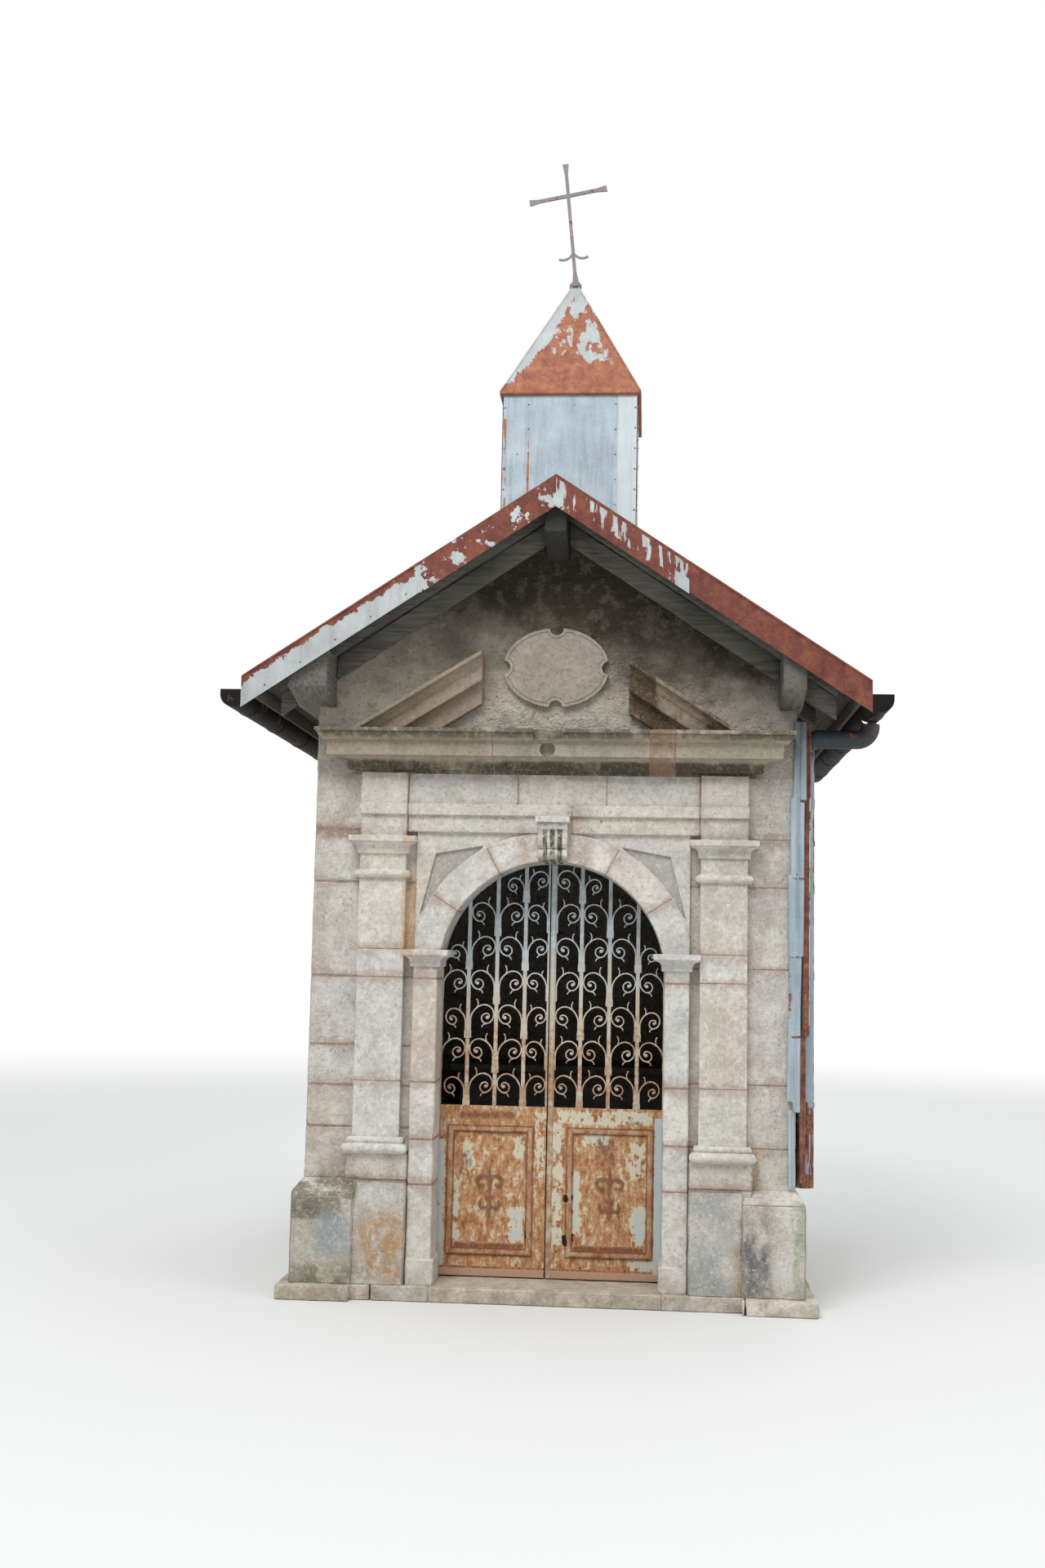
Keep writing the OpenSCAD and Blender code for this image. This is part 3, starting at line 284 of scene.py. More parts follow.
def cleaned(bm):
    """Merges doubles and clears the edges inside flat faces."""
    bmesh.ops.remove_doubles(bm, verts=bm.verts, dist=MERGE)
    bmesh.ops.dissolve_limit(bm, angle_limit=FLAT, verts=bm.verts, edges=bm.edges)
    return bm


def add_box(bm, low, high, turn=None):
    """A box between two corners, turned by a matrix when one is given."""
    for vert in bmesh.ops.create_cube(bm, size=1)["verts"]:
        vert.co = Vector([l + (h - l) * (c + 0.5) for l, h, c in zip(low, high, vert.co)])
        if turn is not None:
            vert.co = turn @ vert.co


def cut_by(bm, boxes):
    """Takes boxes out of a mesh, each given as (low, high) or (low, high, matrix)."""
    cutter = bmesh.new()
    for entry in boxes:
        add_box(cutter, *entry)
    body = add_object("cut_body", mesh_from(bm, "cut_body"))
    tool = add_object("cut_tool", mesh_from(cutter, "cut_tool"))
    modifier = body.modifiers.new("cut", "BOOLEAN")
    modifier.operation, modifier.solver, modifier.object = "DIFFERENCE", "EXACT", tool
    modifier.use_self = len(boxes) > 1
    graph = bpy.context.evaluated_depsgraph_get()
    out = bmesh.new()
    out.from_mesh(bpy.data.meshes.new_from_object(body.evaluated_get(graph)))
    for thing in (body, tool):
        mesh = thing.data
        bpy.data.objects.remove(thing)
        bpy.data.meshes.remove(mesh)
    return cleaned(out)


def soften(bm, width):
    """Bevels the sharp edges."""
    sharp = [e for e in bm.edges if len(e.link_faces) == 2 and e.calc_face_angle(0) > SHARP]
    if sharp:
        bmesh.ops.bevel(
            bm, geom=sharp, offset=width, segments=1, affect="EDGES", clamp_overlap=True,
            profile=0.6,
        )


def dice(bm, spacing):
    """Cuts faces by planes across each axis, spaced evenly and at most so far apart."""
    for axis, step in enumerate(spacing):
        if not step:
            continue
        places = [v.co[axis] for v in bm.verts]
        low, high = min(places), max(places)
        count = int((high - low) / step)
        normal = Vector([1.0 if i == axis else 0.0 for i in range(3)])
        for k in range(1, count + 1):
            place = low + (high - low) * k / (count + 1)
            bmesh.ops.bisect_plane(
                bm, geom=bm.verts[:] + bm.edges[:] + bm.faces[:], dist=1e-6,
                plane_co=normal * place, plane_no=normal,
            )


def weather(bm, proud, amount, seed):
    """Moves a surface outwards by proud, roughened by the amount, and never below the base."""
    bm.normal_update()
    shift = Vector((seed * 3.1, seed * 1.7, seed * 2.3))
    moves = []
    for vert in bm.verts:
        where, rough = vert.co + shift, 0.0
        for scale, share in WEAR_SCALES:
            where = where * scale
            rough += share * noise.noise(where)
        moves.append(vert.normal * (proud + amount * rough))
    for vert, move in zip(bm.verts, moves):
        vert.co += move
        vert.co.z = max(vert.co.z, CAD_BOX[0][2])


def tint_islands(bm, seed):
    """Gives each separate stone its own number for small colour differences."""
    layer = bm.verts.layers.float.new("tint")
    chance = random.Random(int(seed * 1000) + 7)
    seen = set()
    for start in bm.verts:
        if start in seen:
            continue
        value = chance.random()
        stack = [start]
        seen.add(start)
        while stack:
            vert = stack.pop()
            vert[layer] = value
            for edge in vert.link_edges:
                other = edge.other_vert(vert)
                if other not in seen:
                    seen.add(other)
                    stack.append(other)


def mark_joints(bm, joints):
    """Stores how near each point is to a joint, from 0 to 1."""
    layer = bm.verts.layers.float.new("halo")
    cuts = []
    for low, high, *turn in joints:
        cuts.append((Vector(low), Vector(high), turn[0].inverted() if turn else None))
    for vert in bm.verts:
        nearest = HALO_REACH
        for low, high, back in cuts:
            spot = back @ vert.co if back else vert.co
            gap = [max(l - c, 0.0, c - h) for l, c, h in zip(low, spot, high)]
            nearest = min(nearest, math.sqrt(sum(g * g for g in gap)))
        vert[layer] = 1.0 - nearest / HALO_REACH


def slabs(axis, half, *places):
    """Joints through everything, square to an axis."""
    joints = []
    for place in places:
        low, high = [-3, -3, -1], [3, 3, 9]
        low[axis], high[axis] = place - half, place + half
        joints.append((low, high))
    return joints


def stone_copy(name, node, key, slot, seed, spacing, proud, amount, bevel, joints=(),
               replace=False, angle=38.0):
    """A weathered copy of a CAD node, parted by joints, standing slightly proud of it."""
    bm = bmesh.new()
    bm.from_mesh(NODES[node].data)
    bm = cleaned(bm)
    if joints:
        bm = cut_by(bm, joints)
    soften(bm, bevel)
    dice(bm, spacing)
    weather(bm, proud, amount, seed)
    tint_islands(bm, seed)
    mark_joints(bm, joints)
    make_piece(bm, name, key, angle, [node] if replace else ())


def skin(bm, rows, ends=True):
    """Joins rings of points in order, and closes the ends."""
    count = len(rows[0])
    for a, b in zip(rows, rows[1:]):
        for k in range(count):
            after = (k + 1) % count
            bm.faces.new((a[k], a[after], b[after], b[k]))
    if ends:
        bm.faces.new(rows[0][::-1])
        bm.faces.new(rows[-1])


# Outline of a board in shares of its width and thickness
PLANK_RIM = (
    (-0.5, -0.5), (-0.47, -0.44), (-0.5, 0.3), (-0.485, 0.5), (-0.1, 0.5), (0.15, 0.5),
    (0.485, 0.5), (0.5, 0.3), (0.5, -0.5), (0.1, -0.5),
)
PLANK_STEPS = 26
PLANK_WAVE = 0.003


def plank(bm, start, along, across, up, length, width, thick, roll):
    """A board with worn edges, from start along one direction."""
    rows = []
    for i in range(PLANK_STEPS + 1):
        t = i / PLANK_STEPS
        sway = across * (PLANK_WAVE * noise.noise(Vector((t * 3.1, roll, 0.3))))
        row = []
        for k, (u, v) in enumerate(PLANK_RIM):
            wobble = PLANK_WAVE * 0.5 * noise.noise(Vector((t * 9.0, roll + k * 0.37, 1.7)))
            spot = start + along * (length * t) + sway
            spot = spot + across * (width * u + wobble) + up * (thick * v + wobble * 0.5)
            row.append(bm.verts.new(spot))
        rows.append(row)
    skin(bm, rows)


TUBE_SIDES = 8


def tube(bm, start, end, steps, radius):
    """A straight round bar."""
    ahead = (end - start).normalized()
    side = ahead.cross(Vector((0, 0, 1))).normalized()
    top = side.cross(ahead)
    turns = [2 * math.pi * k / TUBE_SIDES for k in range(TUBE_SIDES)]
    rows = []
    for step in range(steps + 1):
        point = start.lerp(end, step / steps)
        rows.append([
            bm.verts.new(point + side * (radius * math.cos(a)) + top * (radius * math.sin(a)))
            for a in turns
        ])
    for a, b in zip(rows, rows[1:]):
        for k in range(TUBE_SIDES):
            after = (k + 1) % TUBE_SIDES
            bm.faces.new((a[k], b[k], b[after], a[after]))
    bm.faces.new(rows[0])
    bm.faces.new(rows[-1][::-1])


# The finishes. Every texture reads Object coordinates, and the pieces stand at the origin, so
# that a place in metres is the same place on the building.


def tone(colour, factor):
    return [min(1.0, c * factor) for c in colour]


def blend(share, a, b):
    """a where the share is 0 and b where it is 1."""
    return a * (1.0 - share) + b * share


# Stains of the front: range across, range of height, softness, colour, strength, fineness of the
# grain, and how far the grain is drawn out upwards
HIGH_STAINS = (
    ((-1.31, -1.02), (2.385, 2.465), 0.02, (0.29, 0.20, 0.13), 0.85, 8.0, 1.0),
    ((1.02, 1.31), (2.37, 2.45), 0.02, (0.30, 0.23, 0.16), 0.7, 8.0, 1.0),
    ((-1.31, 1.31), (2.705, 2.76), 0.02, (0.30, 0.255, 0.18), 0.6, 6.0, 0.5),
    ((-0.20, 0.20), (2.18, 2.44), 0.05, (0.42, 0.30, 0.21), 0.75, 7.0, 0.6),
    ((0.80, 1.31), (1.95, 2.60), 0.10, (0.40, 0.385, 0.35), 0.55, 7.0, 0.7),
    ((-0.797, -0.722), (1.76, 2.44), 0.006, (0.57, 0.40, 0.24), 0.95, 4.0, 0.4),
    ((-0.797, -0.722), (0.82, 1.78), 0.006, (0.52, 0.46, 0.39), 0.75, 5.0, 0.5),
    ((0.722, 0.797), (0.82, 2.44), 0.006, (0.46, 0.41, 0.34), 0.80, 5.0, 0.4),
    ((-1.31, -1.20), (1.0, 2.1), 0.03, (0.46, 0.38, 0.31), 0.7, 4.0, 0.4),
    ((-0.74, -0.58), (1.15, 1.80), 0.05, (0.50, 0.40, 0.33), 0.6, 6.0, 0.5),
    ((-0.70, -0.35), (1.85, 2.30), 0.06, (0.47, 0.36, 0.27), 0.5, 5.0, 0.8),
    ((1.20, 1.31), (0.8, 2.5), 0.05, (0.42, 0.42, 0.40), 0.6, 5.0, 0.4),
    ((-1.06, 1.06), (2.44, 2.70), 0.02, (0.74, 0.69, 0.60), 0.5, 3.0, 1.0),
)
LOW_STAINS = (
    ((-0.99, -0.735), (0.10, 0.47), 0.06, (0.50, 0.345, 0.20), 1.0, 3.1, 0.7),
    ((-0.98, -0.735), (0.10, 0.44), 0.06, (0.46, 0.285, 0.13), 1.0, 13.0, 0.5),
    ((-1.335, -1.07), (0.405, 0.51), 0.02, (0.13, 0.112, 0.088), 2.0, 4.0, 0.8),
    ((-1.33, -0.99), (0.51, 0.62), 0.02, (0.15, 0.135, 0.10), 1.7, 6.0, 1.0),
    ((-1.45, -0.99), (-0.1, 0.60), 0.10, (0.40, 0.365, 0.27), 0.55, 5.0, 0.8),
    ((-1.19, -1.01), (0.22, 0.42), 0.04, (0.33, 0.36, 0.36), 1.0, 4.0, 0.8),
    ((-1.42, -0.98), (-0.1, 0.17), 0.05, (0.17, 0.16, 0.08), 0.85, 7.0, 1.0),
    ((0.735, 1.0), (0.06, 0.58), 0.05, (0.34, 0.365, 0.35), 0.8, 3.5, 0.6),
    ((0.965, 1.015), (0.04, 0.32), 0.012, (0.52, 0.29, 0.10), 0.8, 9.0, 0.6),
    ((1.15, 1.36), (0.07, 0.62), 0.03, (0.74, 0.76, 0.70), 0.55, 4.0, 0.8),
    ((1.0, 1.15), (0.07, 0.53), 0.04, (0.15, 0.16, 0.15), 1.3, 3.5, 0.6),
    ((1.045, 1.095), (0.60, 0.80), 0.015, (0.47, 0.30, 0.16), 0.9, 6.0, 1.0),
    ((1.265, 1.36), (0.04, 0.56), 0.015, (0.27, 0.33, 0.18), 0.75, 8.0, 0.6),
    ((-0.75, -0.56), (0.05, 0.215), 0.02, (0.41, 0.40, 0.38), 0.8, 7.0, 0.6),
    ((0.56, 0.75), (0.05, 0.215), 0.02, (0.36, 0.36, 0.35), 0.85, 7.0, 0.6),
    ((-1.31, -1.02), (0.60, 0.80), 0.04, (0.44, 0.37, 0.30), 0.7, 6.0, 1.0),
)
FOOTING_STAINS = (((0.98, 1.5), (-0.1, 0.1), 0.05, (0.86, 0.80, 0.66), 0.9, 4.0, 1.0),)
# On the cornice the band along the top is moss; the two dark bands from 2.72 to 2.805 are painted
# shade under its face, partly a greenish brown stain.
CORNICE_STAINS_AND_SHADE = (
    ((-1.5, 1.5), (2.915, 2.98), 0.012, (0.14, 0.125, 0.085), 1.4, 9.0, 0.7),
    ((-1.5, 1.5), (2.72, 2.795), 0.012, (0.07, 0.06, 0.038), 1.0, 7.0, 0.7),
    ((-1.5, 1.5), (2.72, 2.805), 0.012, (0.085, 0.073, 0.047), 1.6, 3.0, 0.7),
    ((0.505, 0.645), (2.72, 2.98), 0.012, (0.34, 0.22, 0.13), 0.9, 6.0, 1.0),
)
# The three flutes of the keystone, and the soot below them
KEYSTONE_STAINS = tuple(
    ((x - 0.012, x + 0.012), (2.27, 2.445), 0.004, (0.085, 0.085, 0.05), 1.7, 9.0, 0.5)
    for x in (-0.039, 0.0, 0.039)
) + (((-0.09, 0.09), (2.20, 2.29), 0.02, (0.20, 0.17, 0.12), 0.8, 9.0, 1.0),)
# Painted shade on the right-hand raking moulding, on the side away from the light.
RAKING_SHADE = (((0.3, 1.2), (2.9, 3.5), 0.05, (0.085, 0.058, 0.032), 1.3, 5.0, 0.6),)
# Painted shade in the sunk fields of the spandrels: depths between which they darken, range
# across, range of height and colour
SPANDREL_FIELD_SHADE = (
    (FRONT - 0.016, FRONT - 0.012), (-0.72, 0.72), (1.85, 2.40), (0.33, 0.32, 0.29)
)


def stained(s, colour, stains):
    """A colour with stains that show on the front only."""
    front = s.band(s.y, FRONT + 0.35, FRONT + 0.15)
    for x, z, soft, stain, strength, scale, drawn in stains:
        grain = s.band(s.noise(scale, 6, 0.68, drawn), 0.36, 0.58)
        colour = s.mix(s.zone(x, z, soft) * grain * strength * front, colour, stain)
    return colour


def stone_finish(name, base, stains=(), speck=0.5, rough=1.0, moss=0.0, blotch=0.5, field_shade=None):
    """Pitted limestone: mottled, stained along its joints, with lichen specks and moss, and
    painted shade in sunk fields where given.
    """
    s = Shader(name)
    big, mid, mottle = s.noise(2.0, 4, 0.6), s.noise(7.5, 6, 0.66), s.noise(21, 5, 0.7)
    grain, fine = s.noise(48, 5, 0.7), s.noise(150, 3, 0.6)
    pits = s.band(s.cells(90), 0.22, 0.08)
    cast = s.ramp(
        s.attribute("tint"), (0.0, (0.90, 0.92, 0.94)), (0.35, (1.0, 0.985, 0.96)),
        (0.65, (0.96, 0.90, 0.84)), (1.0, (1.0, 1.0, 1.0)),
    )
    colour = s.mix(s.band(mid, 0.34, 0.66), tone(base, 1.09), tone(base, 0.86))
    colour = s.mix(1.0, colour, cast, "MULTIPLY")
    halo = s.attribute("halo") + (mid - 0.5) * 2.2
    colour = s.over(
        colour,
        (s.band(big, 0.46, 0.62) * s.band(mid, 0.42, 0.6) * blotch, s.settings.warm_stain),
        (s.band(halo, 0.35, 1.0) * 0.8, s.settings.warm_stain),
    )
    colour = stained(s, colour, stains)
    # Painted shade in a sunk field.
    if field_shade:
        depth, x, z, shadow = field_shade
        colour = s.mix(s.band(s.y, *depth) * s.zone(x, z, 0.01) * 0.7, colour, shadow)
    if moss:
        foot = s.band(s.z, 0.26, 0.0) * s.band(s.noise(9, 5, 0.6), 0.4, 0.6) * moss
        colour = s.mix(foot, colour, (0.17, 0.155, 0.08))
    specks = s.band(s.noise(70, 3, 0.6), 0.62, 0.70) * s.band(s.noise(3.7, 3, 0.6), 0.42, 0.6)
    colour = s.over(
        colour,
        (s.band(mottle, 0.52, 0.64) * 0.30, tone(base, 0.62)),
        (s.band(mottle, 0.46, 0.36) * 0.28, tone(base, 1.22)),
        (s.band(grain, 0.50, 0.68) * 0.55, tone(base, 0.52)),
        (s.band(grain, 0.46, 0.32) * 0.42, tone(base, 1.34)),
        (specks * speck, (0.11, 0.10, 0.085)),
        (pits * 0.34, (0.24, 0.20, 0.17)),
    )
    s.finish(
        colour, 0.9, s.bump(grain * 0.9 + fine * 0.35 - pits * 0.5, 0.9 * rough, 0.010),
        specular=0.2,
    )


def render_finish(name, base, dark, shaded=0.0):
    """Rough thrown coat with runs; where shaded is given, painted shade under the eaves, partly a
    real brown stain, and painted light low down and at the left.
    """
    s = Shader(name)
    mid, grain, streak = s.noise(3.0, 5, 0.65), s.noise(40, 5, 0.72), s.noise(6, 4, 0.6, 0.2)
    colour = s.over(
        s.mix(s.band(mid, 0.38, 0.62), base, tone(base, 0.78)),
        (s.band(streak, 0.48, 0.64) * 0.45, dark),
        (s.band(grain, 0.45, 0.68) * 0.5, tone(dark, 0.8)),
        (s.band(grain, 0.45, 0.3) * 0.3, tone(base, 1.35)),
    )
    # Painted shade under the eaves, darkest towards the apex and partly a real brown stain, with
    # painted light low down and at the left.
    if shaded:
        level = s.z + (mid - 0.5) * 0.7
        colour = s.over(
            colour,
            (s.band(level, 3.35, 3.0) * 0.95, tone(base, 1.55)),
            (s.band(level, 3.22, 2.95) * 0.6, (0.43, 0.42, 0.385)),
            (s.band(s.x, -0.4, -1.1) * s.band(level, 3.6, 3.3) * 0.3, tone(base, 1.3)),
            (s.band(level + s.x * 0.24, 3.12, 3.70) * shaded, (0.038, 0.030, 0.020)),
        )
    lumps = s.noise(15, 4, 0.7)
    colour = s.mix(s.band(lumps, 0.50, 0.62) * 0.35, colour, tone(dark, 0.7))
    height = s.noise(30, 5, 0.75) + grain * 0.6 + lumps * 1.3
    height = height - s.band(s.cells(34), 0.25, 0.08) * 0.5
    s.finish(colour, 0.93, s.bump(height, 0.9, 0.018), specular=0.15)


def timber_finish(name, base, dark, along, painted_shade=None):
    """Weathered timber whose grain runs along one axis, with painted shade within a range of
    height.
    """
    s = Shader(name)
    drawn = [0.8 if axis == along else 13.0 for axis in range(3)]
    grain, fine = s.noise(5.0, 6, 0.68, drawn, 0.5), s.noise(24.0, 4, 0.6, drawn)
    colour = s.over(
        s.mix(s.band(grain, 0.36, 0.66), base, dark),
        (s.band(s.noise(4, 4), 0.5, 0.66) * 0.4, (0.16, 0.17, 0.12)),
        (s.attribute("tint") * 0.45, tone(base, 0.5)),
        (s.band(grain, 0.64, 0.70) * 0.75, (0.025, 0.022, 0.018)),
    )
    # Painted shade over a range of height, where the ridge beam lies in the shade of the roof.
    if painted_shade:
        colour = s.mix(s.zone(z=painted_shade) * 0.85, colour, tone(dark, 0.25))
    s.finish(colour, 0.85, s.bump(fine - grain * 0.9, 0.8, 0.005), specular=0.25)


def rusty(s, rust, pale, tones=None, dull=0.5, streak=0.4, bright=None, specular=0.5, painted_shade=None):
    """Sheet with rust where the given mask is 1, and a stained edge round it."""
    own = s.settings
    dark, even, light = tones or (own.rust_dark, own.rust, own.rust_light)
    spot, fine, run = s.noise(15, 6, 0.7), s.noise(85, 4, 0.65), s.noise(22, 4, 0.6, 0.10)
    metal = s.over(
        s.mix(s.band(s.noise(4.0, 5, 0.65), 0.35, 0.65), pale, tone(pale, 0.80)),
        (s.band(run, 0.45, 0.66) * streak, tone(pale, 0.62)),
        (s.band(fine, 0.5, 0.7) * 0.35, tone(pale, 1.22)),
    )
    # Where a share is given, the metal darkens towards a near-black copy of its colour: painted
    # shade.
    if painted_shade is not None:
        metal = s.mix(painted_shade, metal, tone(pale, 0.14))
    if bright is not None:
        metal = s.mix(bright * 0.6, metal, tone(own.white_zinc, 1.3))
    metal = s.mix(s.band(rust + spot * 0.5, 0.42, 1.0) * 0.55, metal, light)
    scales = s.ramp(
        spot * 0.55 + fine * 0.3 + run * 0.15, (0.36, dark), (0.48, even), (0.62, light)
    )
    solid = s.band(rust, 0.42, 0.58)
    dents = s.bump(s.noise(3.0, 3), 0.35, 0.03)
    s.finish(
        s.mix(solid, metal, scales), solid * (0.9 - dull) + dull,
        s.bump(solid * 0.3 + fine * 0.5, 0.5, 0.002, dents),
        (1.0 - solid) * 0.2 if specular > 0.2 else 0.0, specular,
    )


def verge_finish(name):
    """The white and rusty lengths of the sheets along the roof's edges."""
    s = Shader(name)
    run = abs(s.x)
    drop = RIDGE_Z - (s.z + run * math.tan(SLOPE))
    ragged, blots = s.noise(11, 5, 0.68) - 0.5, s.noise(8, 5, 0.65)
    drips = s.noise(30, 4, 0.6, 0.14)
    left_low = s.most(
        s.band(drop + ragged * 0.22, 0.052, 0.030),
        s.zone(x=(-1.52, -1.34)) * s.band(blots, 0.54, 0.60),
    )
    left_high = s.most(s.band(drop + ragged * 0.5, 0.085, 0.065), s.band(blots, 0.44, 0.50))
    streaks = s.band(drips, 0.50, 0.56) * s.band(drop + ragged * 0.3, 0.125, 0.105)
    streaks = streaks * s.band(drop, 0.012, 0.022)
    flap = s.zone(x=(0.625, 0.70), soft=0.004) * s.band(drop, 0.085, 0.1)
    right_high = (1.0 - streaks * 0.95) * (1.0 - flap)
    right_low = 1.0 - s.band(drips, 0.66, 0.70) * 0.8
    upper = s.band(run, LAP_X + 0.003, LAP_X - 0.002)
    rust = blend(
        s.band(s.x, -0.004, 0.004), blend(upper, left_low, left_high),
        blend(upper, right_low, right_high),
    )
    top = s.band(run, 0.16, 0.04) * s.band(blots, 0.58, 0.44) * 0.9
    red = ((0.088, 0.024, 0.020), (0.145, 0.041, 0.030), (0.24, 0.078, 0.041))
    rusty(s, s.math("SUBTRACT", rust, top, clamp=True), s.settings.white_zinc, red, streak=0.5)


# Runs of rust down the turret's front: range across, range of height, softness, the drips
# between which the run starts and is full, and strength
TURRET_RUNS = (
    ((-0.257, -0.243), (4.2, 4.74), 0.004, (0.38, 0.46), 1.0),
    ((-0.257, -0.243), (4.7, 5.05), 0.004, (0.50, 0.56), 1.0),
    ((-0.42, -0.384), (4.2, 5.02), 0.004, (0.44, 0.52), 1.0),
    ((-0.06, 0.17), (4.2, 4.66), 0.09, (0.40, 0.56), 0.40),
)


def turret_wall_finish(name):
    """Blue grey sheet with rust along its seams, at its corner and above the roof."""
    s = Shader(name)
    drips = s.noise(34, 4, 0.62, 0.10)
    runs = s.most(*(
        s.zone(x, z, soft) * s.band(drips, *limits) * strength
        for x, z, soft, limits, strength in TURRET_RUNS
    ))
    foot = s.band(s.z + abs(s.x) * 0.6, 4.62, 4.34)
    rust = s.most(
        runs * s.band(s.y, -0.39, -0.402),
        foot * s.band(drips, 0.54, 0.62) * s.band(s.x, 0.24, 0.20),
        s.band(s.noise(7, 5, 0.65), 0.68, 0.72) * 0.7,
        s.band(s.x, 0.404, 0.4065) * s.band(s.y, -0.34, -0.36),
    )
    strip = s.band(s.x, 0.288, 0.292)
    rusty(s, rust, s.settings.turret_zinc, dull=0.55, streak=0.65, bright=strip)


def turret_roof_finish(name):
    """Rust below and pale sheet above, which drip into each other."""
    s = Shader(name)
    low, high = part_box("turret_roof")
    drips, fine = s.noise(22, 5, 0.62, 0.20), s.noise(48, 4, 0.6, 0.12)
    ragged = s.noise(11.0, 5, 0.68)
    rise = (s.z - low[2]) / (high[2] - low[2])
    facing = s.band(abs(s.y) - abs(s.x), -0.002, 0.002)
    width = s.math("MAXIMUM", (1.0 - rise) * high[0], 0.01)
    loose = blend(facing, s.y, s.x) / width + (ragged - 0.5) * 0.55 + (fine - 0.5) * 0.45
    level = rise + (s.band(drips, 0.38, 0.60) - 0.5) * 0.24 + (fine - 0.5) * 0.35
    slanted = loose - s.band(rise, 0.14, 0.66) * 0.36
    left = s.band(slanted, -0.89, -0.95) * s.band(rise, 0.06, 0.12)
    inner = loose - s.band(rise, 0.46, 0.66) * 0.34
    right = s.band(inner, 0.15, 0.21) * s.band(loose, 0.88, 0.80) * s.band(level, 0.35, 0.40)
    right = right * s.band(rise - (drips - 0.5) * 0.7, 0.70, 0.66)
    spots = s.zone((-0.13, 0.0), (5.46, 5.70), 0.04) * s.band(drips, 0.50, 0.56)
    spots = spots * s.band(fine, 0.42, 0.48)
    bare = s.most(s.band(level, 0.76, 0.80), left, right, spots)
    tones = ((0.18, 0.058, 0.036), (0.29, 0.106, 0.064), (0.40, 0.18, 0.085))
    rusty(s, 1.0 - bare, s.settings.white_zinc, tones, streak=0.3)


def roof_finish(name):
    """Sheet with rust drawn out along its slope."""
    s = Shader(name)
    drips = s.noise(9, 5, 0.65, (0.35, 1.0, 0.35))
    rust = s.band(drips * 0.5 + s.noise(2.2, 5, 0.65) * 0.5, 0.46, 0.54)
    rusty(s, rust, s.settings.zinc, ((0.16, 0.055, 0.045), (0.27, 0.10, 0.07), (0.42, 0.19, 0.10)))


def pipe_finish(name):
    """Pale pipe, rusty along its right edge and at its foot, with painted shade on its neck."""
    s = Shader(name)
    blots, streaks = s.noise(12, 5, 0.65), s.noise(40, 4, 0.6, 0.08)
    neck = s.band(s.z, 2.80, 2.90)
    rust = s.most(
        s.band(s.x + (blots - 0.5) * 0.05, 1.378, 1.384) * s.band(s.z, 2.9, 2.8),
        s.band(s.z, 1.1, 1.0) * s.band(streaks, 0.42, 0.5),
        neck * s.band(blots, 0.56, 0.62),
    )
    tones = ((0.085, 0.035, 0.028), (0.17, 0.065, 0.045), (0.40, 0.23, 0.10))
    # The neck, under the eaves, gets painted shade.
    rusty(
        s, rust, s.settings.pipe_zinc, tones, dull=0.6, streak=0.6, specular=0.3, painted_shade=neck
    )


def cover_finish(name):
    """Pale sheet folded over the downpipe, rusty at its laps and at its torn feet, with painted
    shade at its top under the eaves.
    """
    s = Shader(name)
    blots = s.noise(14, 5, 0.65)
    feet = (s.zone(z=(length[1] - 0.01, length[1] + 0.004), soft=0.005) for length in COVER)
    rust = s.most(
        s.most(*feet) * s.band(blots + s.x * 3.0, 4.35, 4.42),
        s.zone((1.238, 1.258), (1.52, 1.72), 0.008) * s.band(blots, 0.44, 0.52),
        s.band(s.x + (blots - 0.5) * 0.03, 1.322, 1.328) * s.band(s.z, 2.65, 2.55) * 0.9,
    )
    tones = ((0.12, 0.045, 0.035), (0.22, 0.085, 0.06), (0.38, 0.19, 0.11))
    # From 2.70 m up the sheet gets painted shade from the eaves.
    rusty(
        s, rust, tone(s.settings.pipe_zinc, 1.12), tones, dull=0.5, streak=0.8,
        bright=s.band(s.z, 1.3, 0.9) * 0.5, painted_shade=s.band(s.z, 2.70, 3.02) * 0.7,
    )


def flange_finish(name):
    """Rusty strip beside the sheet, with a pale edge along the upper part of its height."""
    s = Shader(name)
    lip = s.band(s.x, 1.349, 1.352) * s.band(s.z, 1.36, 1.42) * s.band(s.z, 2.66, 2.62)
    lip = lip * s.band(s.noise(18, 5, 0.65), 0.62, 0.5)
    tones = ((0.10, 0.037, 0.030), (0.20, 0.075, 0.055), (0.38, 0.20, 0.12))
    rusty(s, 1.0 - lip, (0.62, 0.60, 0.55), tones, dull=0.6, streak=0.3)


def gate_iron_finish(name):
    """Bars whose pale paint turns to tan and then to rust lower down."""
    s = Shader(name)
    paint = s.settings.gate_paint
    spot, fine = s.noise(18, 5, 0.7), s.noise(75, 4, 0.65)
    share = s.band(s.z, 2.35, 1.05) + (spot - 0.5) * 1.5 + (fine - 0.5) * 0.6
    colour = s.over(
        s.mix(s.band(spot, 0.4, 0.6), paint, tone(paint, 0.75)),
        (s.band(share, 0.36, 0.72), (0.54, 0.475, 0.375)),
        (s.band(share, 0.79, 1.08), (0.41, 0.25, 0.15)),
        (s.band(share, 1.12, 1.34), (0.20, 0.075, 0.04)),
    )
    s.finish(colour, 0.75, s.bump(fine + spot * 0.5, 0.5, 0.003), specular=0.3)


